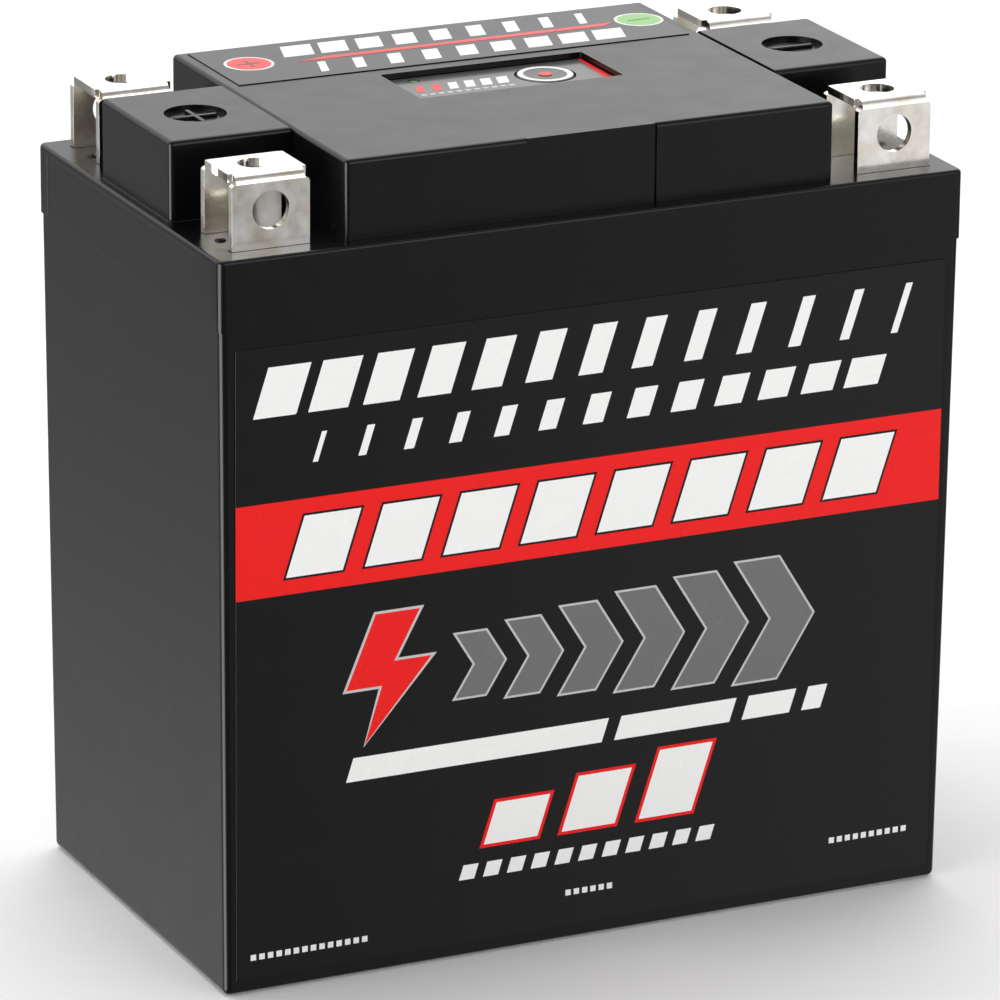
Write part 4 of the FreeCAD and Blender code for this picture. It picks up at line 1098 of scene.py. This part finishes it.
def grown(points: Sequence[Point], margin: float) -> list[Point]:
    """Move an outline outwards, edge by edge.

    Args:
        points: corners in anticlockwise order.
        margin: distance to move each edge.

    Returns:
        The corners of the larger outline.
    """
    result = []
    count = len(points)
    for number in range(count):
        here = Vector(points[number])
        before = (here - Vector(points[number - 1])).normalized()
        after = (Vector(points[(number + 1) % count]) - here).normalized()
        out_before = Vector((before.y, -before.x))
        out_after = Vector((after.y, -after.x))
        miter = out_before + out_after
        reach = margin / max(0.35, miter.length_squared / 2)
        result.append(tuple(here + miter * reach))
    return result


def slanted(left: float, low: float, width: float, height: float, lean: float) -> list[Point]:
    """Corners of a bar that leans to the right."""
    return [(left, low), (left + width, low), (left + width + lean, low + height),
            (left + lean, low + height)]


def circle(across: float, up: float, radius: float, count: int = 72) -> list[Point]:
    """Corners of a round outline."""
    return [(across + radius * math.cos(2 * math.pi * step / count),
             up + radius * math.sin(2 * math.pi * step / count)) for step in range(count)]


@dataclass
class Press:
    """Prints flat shapes of ink on one label, in millimetres on its face."""

    name: str
    place: Matrix
    body: str = BATTERY
    lift: float = 0.02 * MM
    inks: dict[Finish, BMesh] = field(default_factory=dict)

    def shape(self, ink: Finish, points: Sequence[Point], layer: int = 1) -> None:
        """Print one outline.

        Args:
            ink: its finish.
            points: corners in millimetres.
            layer: 1 for the lowest ink.
        """
        sheet = self.inks.setdefault(ink, bmesh.new())
        corners = [sheet.verts.new((x * MM, y * MM, -self.lift)) for x, y in points]
        outline = sheet.faces.new(corners)
        drawn = bmesh.ops.extrude_face_region(sheet, geom=[outline])["geom"]
        verts = [part for part in drawn if isinstance(part, bmesh.types.BMVert)]
        bmesh.ops.translate(sheet, vec=(0, 0, self.lift * (layer + 1)), verts=verts)

    def outlined(self, ink: Finish, edge: Finish, points: Sequence[Point], margin: float,
                 layer: int = 1) -> None:
        """Print an outline over a larger one of another ink.

        Args:
            ink: ink of the outline.
            edge: ink of the larger one.
            points: corners of the outline.
            margin: how far the larger one reaches past it.
            layer: layer of the larger one; the outline lies one higher.
        """
        self.shape(edge, grown(points, margin), layer)
        self.shape(ink, points, layer + 1)

    def emit(self) -> None:
        """Make one piece of each ink.
        """
        for ink, sheet in self.inks.items():
            bmesh.ops.transform(sheet, matrix=self.place, verts=sheet.verts)
            piece = as_object(f"{self.name}_{ink.name.lower()}", sheet)
            dress(piece, ink, self.body)


@dataclass
class FaceLabel:
    """A label on the drafted front or rear face, with its band and bars."""

    node: str
    draft: float = math.radians(0.35)
    thickness: float = 0.25 * MM
    band: Point = (76.8, 94.7)
    lean: float = 0.32
    cell_count: int = 8
    cell_height: float = 11.4
    cell_pitch: float = 15.6
    cell_width: float = 11.2
    cell_edge: float = 0.45
    bar_count: int = 13
    bolt_left: float = -50.0
    bolt_low: float = 45.5
    bolt_width: float = 17.0
    bolt_height: float = 25.0
    chevron_start: float = -28.0
    chevron_gap: float = 4.4

    def build(self) -> None:
        """Make the film, then print on it."""
        low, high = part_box(self.node)
        front = low.y + high.y < 0
        side = -1 if front else 1
        drop = (high.z - low.z) * math.tan(self.draft)
        outer = max(abs(low.y), abs(high.y))
        film = box_blank(Vector((low.x, outer - self.thickness, low.z)),
                         Vector((high.x, outer, high.z)))
        for vert in film.verts:
            if vert.co.z < (low.z + high.z) / 2:
                vert.co.y -= drop
        bmesh.ops.scale(film, vec=(1, side, 1), verts=film.verts)
        piece = as_object(self.node + "_film", film)
        soften(piece, 0.06 * MM, 2)
        dress(piece, Finish.LABEL, BATTERY, [self.node])
        up = Vector((0, side * math.sin(self.draft), math.cos(self.draft)))
        out = Vector((0, side * math.cos(self.draft), -math.sin(self.draft)))
        across = up.cross(out)
        place = Matrix((across, up, out)).transposed().to_4x4()
        place.translation = Vector((0, side * (outer - drop), low.z))
        press = Press(self.node.replace("label", "print"), place)
        self.print_band(press, (high.x - low.x) / MM / 2, low.z / MM)
        self.print_bars(press, low.z / MM)
        self.print_gauge(press, low.z / MM)
        self.print_dashes(press, low.z / MM)
        press.emit()

    def print_band(self, press: Press, half: float, base: float) -> None:
        """Print the red band across the label, with outlined cells on it.

        Args:
            press: the press that prints it.
            half: half the width of the label.
            base: height of the lower edge of the label.
        """
        low, high = (level - base for level in self.band)
        press.shape(Finish.RED, [(-half, low), (half, low), (half, high), (-half, high)])
        height, width, pitch = self.cell_height, self.cell_width, self.cell_pitch
        rise = (high - low - height) / 2
        for number in range(self.cell_count):
            left = ((number - self.cell_count / 2) * pitch + (pitch - width) / 2
                    - self.lean * height / 2)
            bar = slanted(left, low + rise, width, height, self.lean * height)
            press.outlined(Finish.WHITE, Finish.BLACK, bar, self.cell_edge, 2)

    def print_bars(self, press: Press, base: float) -> None:
        """Print two rows of bars above the band, one thinning out and one filling up.

        Args:
            press: the press that prints them.
            base: height of the lower edge of the label.
        """
        count = self.bar_count
        for low, height, half, wide, thin in ((110.9, 9.4, 68.0, 8.4, 1.4),
                                              (101.4, 5.6, 60.0, 1.0, 7.2)):
            pitch = 2 * half / count
            for number in range(count):
                share = number / (count - 1)
                width = wide + (thin - wide) * share
                left = -half + (number + 0.5) * pitch - width / 2 - self.lean * height / 2
                bar = slanted(left, low - base, width, height, self.lean * height)
                press.shape(Finish.WHITE, bar)

    def print_gauge(self, press: Press, base: float) -> None:
        """Print a red bolt and a row of growing grey chevrons below the band.

        Args:
            press: the press that prints them.
            base: height of the lower edge of the label.
        """
        bolt = [(0.42, 0.44), (0.0, 0.44), (0.34, 1.0), (0.86, 1.0), (0.56, 0.62),
                (1.0, 0.62), (0.22, 0.0)]
        low = self.bolt_low - base
        points = [(self.bolt_left + x * self.bolt_width, low + y * self.bolt_height)
                  for x, y in reversed(bolt)]
        press.outlined(Finish.RED, Finish.PALE, points, 0.5)
        middle = low + self.bolt_height / 2
        start = self.chevron_start
        for number in range(6):
            half = 6.2 + 1.15 * number
            thick = 6.0 + 0.55 * number
            point = 0.62 * half
            chevron = [(start, middle - half), (start + thick, middle - half),
                       (start + thick + point, middle), (start + thick, middle + half),
                       (start, middle + half), (start + point, middle)]
            press.outlined(Finish.GREY, Finish.PALE, chevron, 0.42)
            start += thick + self.chevron_gap

    def print_dashes(self, press: Press, base: float) -> None:
        """Print white bars and small dashes on the lower half.

        Args:
            press: the press that prints them.
            base: height of the lower edge of the label.
        """
        low = 38.6 - base
        left = -50.0
        for width in (52.0, 24.0, 10.0, 4.0):
            press.shape(Finish.WHITE, slanted(left, low, width, 4.6, self.lean * 4.6))
            left += width + 2.6
        for number, height in enumerate((8.0, 10.6, 13.2)):
            left = -22.0 + number * 16.0
            bar = slanted(left, 22.0 - base, 11.0, height, self.lean * height)
            press.outlined(Finish.WHITE, Finish.RED, bar, 0.65)
        for number in range(11):
            press.shape(Finish.WHITE, slanted(-27.0 + number * 4.9, 15.6 - base, 3.1, 2.9, 0.9))
        for start, count, low in ((-69.0, 14, 6.6), (50.5, 10, 10.6), (-5.0, 6, 9.0)):
            for number in range(count):
                press.shape(Finish.WHITE,
                            slanted(start + number * 1.72, low - base, 1.1, 1.15, 0.0))


@dataclass
class TopLabel:
    """The sticker on the rear half of the cover, with a dot for each polarity."""

    dot: float = 4.75
    ring: float = 0.55
    recess: float = 0.07 * MM

    def build(self) -> None:
        """Make the film, then print on it."""
        low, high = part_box("top_label")
        high.z -= self.recess
        piece = as_object("top_label_film", box_blank(low, high))
        soften(piece, 0.06 * MM, 2)
        dress(piece, Finish.LABEL, BATTERY, ["top_label"])
        place = Matrix.Translation(Vector((0, low.y, high.z)))
        press = Press("top_print", place)
        depth = (high.y - low.y) / MM
        self.print_dot(press, -38.9, depth / 2 + 0.8, Finish.RED, True)
        self.print_dot(press, 42.2, depth / 2 + 0.8, Finish.GREEN, False)
        count = 9
        for low_edge, height, wide, thin in ((14.6, 7.2, 6.2, 1.6), (2.6, 6.6, 1.6, 6.2)):
            for number in range(count):
                width = wide + (thin - wide) * number / (count - 1)
                left = -31.0 + number * 7.4 + (6.2 - width) / 2
                press.shape(Finish.WHITE, slanted(left, low_edge, width, height, 0.3 * height))
        press.shape(Finish.RED, [(-30.0, 10.6), (34.0, 11.4), (37.0, 13.2), (-24.0, 12.3)], 2)
        press.emit()

    def print_dot(self, press: Press, across: float, up: float, ink: Finish,
                  positive: bool) -> None:
        """A coloured dot in a white ring, with its sign.

        Args:
            press: the press that prints it.
            across: its middle along the film.
            up: its middle up the film.
            ink: the dot's ink.
            positive: true for a plus sign, false for a minus sign.
        """
        press.shape(Finish.WHITE, circle(across, up, self.dot))
        press.shape(ink, circle(across, up, self.dot - self.ring), 2)
        long, thin = 2.3, 0.32
        if positive:
            corners = [(-long, -thin), (-thin, -thin), (-thin, -long), (thin, -long),
                       (thin, -thin), (long, -thin), (long, thin), (thin, thin),
                       (thin, long), (-thin, long), (-thin, thin), (-long, thin)]
        else:
            corners = [(-long, -thin), (long, -thin), (long, thin), (-long, thin)]
        press.shape(Finish.MAROON if positive else Finish.MOSS,
                    [(across + x, up + y) for x, y in corners], 3)


@dataclass
class ButtonPanel:
    """The film in the cover's recess, the push cap and the status light."""

    cap_radius: float = 5.5 * MM
    cap_dish: float = 0.12 * MM
    cap_gap: float = 0.3 * MM
    light_gap: float = 0.1 * MM
    ring_inner: float = 4.15
    ring_outer: float = 5.2
    ring_wedges: int = 60
    cap_steps: int = 72
    cap_dot: float = 1.3
    strip_low: float = 2.0
    strip_top: float = 0.5

    def build(self) -> None:
        """Make film, print, cap and light."""
        low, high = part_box("panel_label")
        cap_low, cap_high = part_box("restart_button")
        centre = (cap_low + cap_high) / 2
        light_low, light_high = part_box("status_light")
        light = (light_low + light_high) / 2
        film = as_object("panel_film", box_blank(low, high))
        cut = disc_blank(Vector((centre.x, centre.y, high.z)), self.cap_radius + self.cap_gap,
                         2 * MM)
        bore = disc_blank(Vector((light.x, light.y, high.z)),
                          (light_high.x - light_low.x) / 2 + self.light_gap, 2 * MM, segments=32)
        combine(film, [cut, bore], "DIFFERENCE")
        soften(film, 0.05 * MM, 2)
        dress(film, Finish.PANEL, BATTERY, ["panel_label"])
        self.print_panel(low, high, centre)
        self.build_cap(centre, cap_low, cap_high)
        self.build_light(light, light_low, light_high)

    def print_panel(self, low: Vector, high: Vector, centre: Vector) -> None:
        """Bars beside the cap and a narrow red strip at the right.

        Args:
            low: lowest corner of the film.
            high: highest corner of the film.
            centre: middle of the cap.
        """
        press = Press("panel_print", Matrix.Translation(Vector((low.x, low.y, high.z))))
        width = (high.x - low.x) / MM
        depth = (high.y - low.y) / MM
        press.shape(Finish.RED, [(width - self.strip_low, 0.0), (width, 0.0), (width, depth),
                                 (width - self.strip_top, depth)])
        middle = (centre.y - low.y) / MM
        for number in range(6):
            press.shape(Finish.RED if number < 2 else Finish.WHITE,
                        slanted(2.6 + number * 3.3, middle - 2.2, 1.5 + 0.15 * number, 4.2, 1.3))
        for number in range(11):
            press.shape(Finish.PALE, slanted(2.4 + number * 1.8, middle - 4.6, 1.1, 1.0, 0.0))
        press.emit()

    def print_ring(self, press: Press, across: float, up: float, inner: float, outer: float,
                   ink: Finish) -> None:
        """Print a ring as a run of short wedges.

        Args:
            press: the press that prints it.
            across: its middle along the print.
            up: its middle up the print.
            inner: inner radius.
            outer: outer radius.
            ink: its ink.
        """
        count = self.ring_wedges
        for step in range(count):
            start = 2 * math.pi * step / count
            end = 2 * math.pi * (step + 1) / count
            corners = [(radius, angle) for radius, angle in
                       ((inner, start), (outer, start), (outer, end), (inner, end))]
            press.shape(ink, [(across + radius * math.cos(angle), up + radius * math.sin(angle))
                              for radius, angle in corners])

    def build_cap(self, centre: Vector, low: Vector, high: Vector) -> None:
        """Turn the cap, its flange and its stem round their axis.

        Args:
            centre: middle of the cap's solid.
            low: its lowest corner.
            high: its highest corner.
        """
        flange = (high.x - low.x) / 2
        flange_low = low.z + 2.4 * MM
        flange_high = flange_low + 1.2 * MM
        radius = self.cap_radius
        rim = 0.35 * MM
        section = [(0.0, high.z - self.cap_dish), (radius * 0.5, high.z - self.cap_dish * 0.75),
                   (radius - 2 * rim, high.z - 0.02 * MM), (radius - rim, high.z),
                   (radius - 0.1 * MM, high.z - 0.1 * MM), (radius, high.z - rim),
                   (radius, flange_high), (flange, flange_high), (flange, flange_low),
                   (2.5 * MM, flange_low), (2.5 * MM, low.z), (0.0, low.z)]
        cap_mesh = lathed(section, centre, self.cap_steps)
        cap = as_object("push_cap", cap_mesh)
        soften(cap, 0.08 * MM, 2, 45.0)
        dress(cap, Finish.CAP, BUTTON, ["restart_button"])
        press = Press("cap_print", Matrix.Translation(Vector((centre.x, centre.y, high.z))),
                      BUTTON)
        self.print_ring(press, 0.0, 0.0, self.ring_inner, self.ring_outer,
                        Finish.WHITE)
        press.shape(Finish.RED, circle(0.0, 0.0, self.cap_dot))
        press.emit()

    def build_light(self, centre: Vector, low: Vector, high: Vector) -> None:
        """Turn a light pipe with a domed end.

        Args:
            centre: middle of the pipe.
            low: its lowest corner.
            high: its highest corner.
        """
        radius = (high.x - low.x) / 2
        pipe = disc_blank(centre, radius, high.z - low.z, segments=40)
        round_edges(pipe, edges_at(pipe, high.z), radius * 0.35, 4)
        piece = as_object("light_pipe", pipe)
        piece.data.shade_smooth()
        dress(piece, Finish.LIGHT, BATTERY, ["status_light"])


# Inside ----------------------------------------------------------------------------------------


@dataclass
class Interior:
    """The pieces inside the case, which keep their solids and take a finish."""

    finishes: dict[str, Finish] = field(default_factory=lambda: {
        "seal_rubber": Finish.RUBBER,
        "switch_steel": Finish.STEEL,
        "screw_steel": Finish.STEEL,
        "standoff_brass": Finish.BRASS,
        "circuit_board": Finish.BOARD,
        "flex_film": Finish.FLEX,
        "connector_plastic": Finish.SOCKET,
        "cell_can": Finish.SLEEVE,
        "holder_plastic": Finish.HOLDER,
        "link_nickel": Finish.NICKEL_STRIP,
        "copper": Finish.COPPER,
        "chip_plastic": Finish.EPOXY,
        "spreader_aluminium": Finish.ALUMINIUM,
        "capacitor_can": Finish.CAN,
        "foam": Finish.FOAM,
        "button_plastic": Finish.CAP,
        "housing_plastic": Finish.HOUSING,
        "label_foil": Finish.LABEL,
        "panel_foil": Finish.PANEL,
        "terminal_nickel": Finish.NICKEL,
        "light_pipe": Finish.LIGHT,
    })

    def build(self, frame: dict) -> None:
        """Give every solid the finish of its slot.
        """
        slots = {part["node"]: part["material_slot"] for part in frame["record"]["subparts"]}
        for name, solid in frame["nodes"].items():
            material = PAINT.get(self.finishes[slots[name]])
            solid.data.materials.clear()
            solid.data.materials.append(material)
        LOG.info("finished %d solids", len(frame["nodes"]))


# Studio ----------------------------------------------------------------------------------------


class Gradient:
    """Smooth steps over the direction of the sky, joined by sums and products."""

    def __init__(self, tree: bpy.types.NodeTree) -> None:
        """Start from the three parts of the direction.

        Args:
            tree: the world's node tree.
        """
        self.tree = tree
        place = tree.nodes.new("ShaderNodeTexCoord")
        self.split = tree.nodes.new("ShaderNodeSeparateXYZ")
        tree.links.new(place.outputs["Generated"], self.split.inputs["Vector"])

    def ramp(self, axis: str, start: float, end: float, low: float,
             high: float) -> bpy.types.NodeSocket:
        """A smooth step along one axis.

        Args:
            axis: X, Y or Z.
            start: where the step starts.
            end: where it ends.
            low: value before the step.
            high: value after it.

        Returns:
            The stepped value.
        """
        node = self.tree.nodes.new("ShaderNodeMapRange")
        node.interpolation_type = "SMOOTHSTEP"
        for name, number in (("From Min", start), ("From Max", end), ("To Min", low),
                             ("To Max", high)):
            node.inputs[name].default_value = number
        self.tree.links.new(self.split.outputs[axis], node.inputs["Value"])
        return node.outputs["Result"]

    def join(self, operation: str, first: bpy.types.NodeSocket,
             second: bpy.types.NodeSocket) -> bpy.types.NodeSocket:
        """Join two values.

        Args:
            operation: ADD or MULTIPLY.
            first: one value.
            second: the other value.

        Returns:
            The joined value.
        """
        node = self.tree.nodes.new("ShaderNodeMath")
        node.operation = operation
        self.tree.links.new(first, node.inputs[0])
        self.tree.links.new(second, node.inputs[1])
        return node.outputs["Value"]


@dataclass
class Studio:
    """Pale floor, soft light and the camera."""

    eye: Vector = field(default_factory=lambda: Vector((-0.5439, -1.1433, 0.4995)))
    yaw: float = math.radians(25.478)
    pitch: float = math.radians(18.605)
    roll: float = math.radians(0.496)
    lens: float = 254.18
    floor_size: float = 12.0
    overhead_power: float = 8.0
    front_power: float = 5.2
    sky_level: float = 0.38
    sky_upper: float = 1.0
    sky_lower: float = 0.52
    sky_front: float = 0.1
    sky_right: float = 0.32
    sky_near_left: float = 0.17
    sky_near_right: float = 0.92
    sky_strip: float = 9.0

    def build(self) -> None:
        """Set up the floor, the light and the camera."""
        self.build_floor()
        self.build_sky()
        self.build_lamps()
        self.build_camera()

    def build_floor(self) -> None:
        """A plain pale floor just under the battery."""
        sheet = bmesh.new()
        bmesh.ops.create_grid(sheet, x_segments=1, y_segments=1, size=self.floor_size / 2)
        bmesh.ops.translate(sheet, vec=(0, 0, -0.05 * MM), verts=sheet.verts)
        floor = as_object("studio_floor", sheet)
        shader = Shader("studio_floor_paint")
        grain = shader.noise(30 * MM, 2.0)
        shader.tint(grain, (0.92, 0.92, 0.92), (0.94, 0.94, 0.94))
        shader.set(Roughness=0.9, Specular_IOR_Level=0.1)
        floor.data.materials.append(shader.material)
        floor.visible_glossy = False

    def build_sky(self) -> None:
        """Light from all round: bright above and behind, dim in front, a strip at the left."""
        world = bpy.data.worlds.new("studio_sky")
        bpy.context.scene.world = world
        world.use_nodes = True
        tree = world.node_tree
        backdrop = tree.nodes["Background"]
        sky = Gradient(tree)
        upper = sky.ramp("Z", -0.1, 0.3, self.sky_level, self.sky_level + self.sky_upper)
        lower = sky.ramp("Z", -0.4, -0.3, self.sky_lower, 0.0)
        depth = sky.ramp("Y", -0.6, 0.7, self.sky_front, 1.0)
        dome = sky.join("MULTIPLY", sky.join("ADD", upper, lower), depth)
        far = sky.join("MULTIPLY", sky.ramp("X", 0.34, 0.52, 0.0, self.sky_right),
                       sky.ramp("Y", 0.0, 0.5, 0.0, 1.0))
        near = sky.join("MULTIPLY", sky.ramp("X", 0.34, 0.5, self.sky_near_left,
                                             self.sky_near_right),
                        sky.ramp("Y", -0.6, -0.3, 1.0, 0.0))
        dome = sky.join("ADD", sky.join("ADD", dome, far), near)
        strip = sky.ramp("X", -0.86, -0.76, self.sky_strip, 0.0)
        fades = (("Y", -0.8, -0.6, 0.0, 1.0), ("Y", 0.1, 0.3, 1.0, 0.0),
                 ("Z", -0.7, -0.55, 0.0, 1.0), ("Z", 0.2, 0.4, 1.0, 0.0))
        for axis, start, end, low, high in fades:
            strip = sky.join("MULTIPLY", strip, sky.ramp(axis, start, end, low, high))
        dome = sky.join("ADD", dome, strip)
        path = tree.nodes.new("ShaderNodeLightPath")
        choice = tree.nodes.new("ShaderNodeMix")
        choice.data_type = "FLOAT"
        tree.links.new(path.outputs["Is Camera Ray"], choice.inputs["Factor"])
        tree.links.new(dome, choice.inputs["A"])
        choice.inputs["B"].default_value = 1.0
        tree.links.new(choice.outputs["Result"], backdrop.inputs["Strength"])
        backdrop.inputs["Color"].default_value = (1.0, 1.0, 1.0, 1.0)

    def build_lamps(self) -> None:
        """Two soft boxes: one overhead and behind, one in front."""
        self.add_lamp("overhead_box", Vector((0.1, 0.7, 1.5)), 1.3, self.overhead_power)
        self.add_lamp("front_box", Vector((0.3, -1.4, 0.6)), 0.9, self.front_power)

    def add_lamp(self, name: str, place: Vector, size: float, power: float) -> None:
        """Hang a square lamp that faces the battery.

        Args:
            name: the lamp's name.
            place: where it hangs.
            size: its side.
            power: watts.
        """
        lamp = bpy.data.lights.new(name, "AREA")
        lamp.size = size
        lamp.energy = power
        fixture = bpy.data.objects.new(name, lamp)
        fixture.location = place
        fixture.rotation_euler = (Vector((0, 0, 0.08)) - place).to_track_quat("-Z", "Y").to_euler()
        bpy.context.scene.collection.objects.link(fixture)

    def build_camera(self) -> None:
        """Place the camera by its eye point and its three angles."""
        level = math.cos(self.pitch)
        ahead = Vector((math.sin(self.yaw) * level, math.cos(self.yaw) * level,
                        -math.sin(self.pitch)))
        flat_right = Vector((math.cos(self.yaw), -math.sin(self.yaw), 0))
        flat_up = flat_right.cross(ahead)
        right = flat_right * math.cos(self.roll) + flat_up * math.sin(self.roll)
        up = flat_up * math.cos(self.roll) - flat_right * math.sin(self.roll)
        data = bpy.data.cameras.new("camera")
        data.sensor_width = 36.0
        data.lens = self.lens
        data.clip_start = 0.01
        data.clip_end = 50.0
        camera = bpy.data.objects.new("camera", data)
        turn = Matrix((right, up, -ahead)).transposed().to_4x4()
        turn.translation = self.eye
        camera.matrix_world = turn
        bpy.context.scene.collection.objects.link(camera)
        bpy.context.scene.camera = camera


def main() -> None:
    """Build the sub-assemblies in order."""
    logging.basicConfig(level=logging.INFO, format="%(name)s: %(message)s")
    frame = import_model()
    bpy.context.scene.view_settings.view_transform = "Standard"
    Studio().build()
    Interior().build(frame)
    Case().build()
    Lid().build()
    Cover().build()
    for name in terminal_names():
        Terminal(name).build()
    FaceLabel("front_label").build()
    FaceLabel("rear_label").build()
    TopLabel().build()
    ButtonPanel().build()


if __name__ == "__main__":
    main()
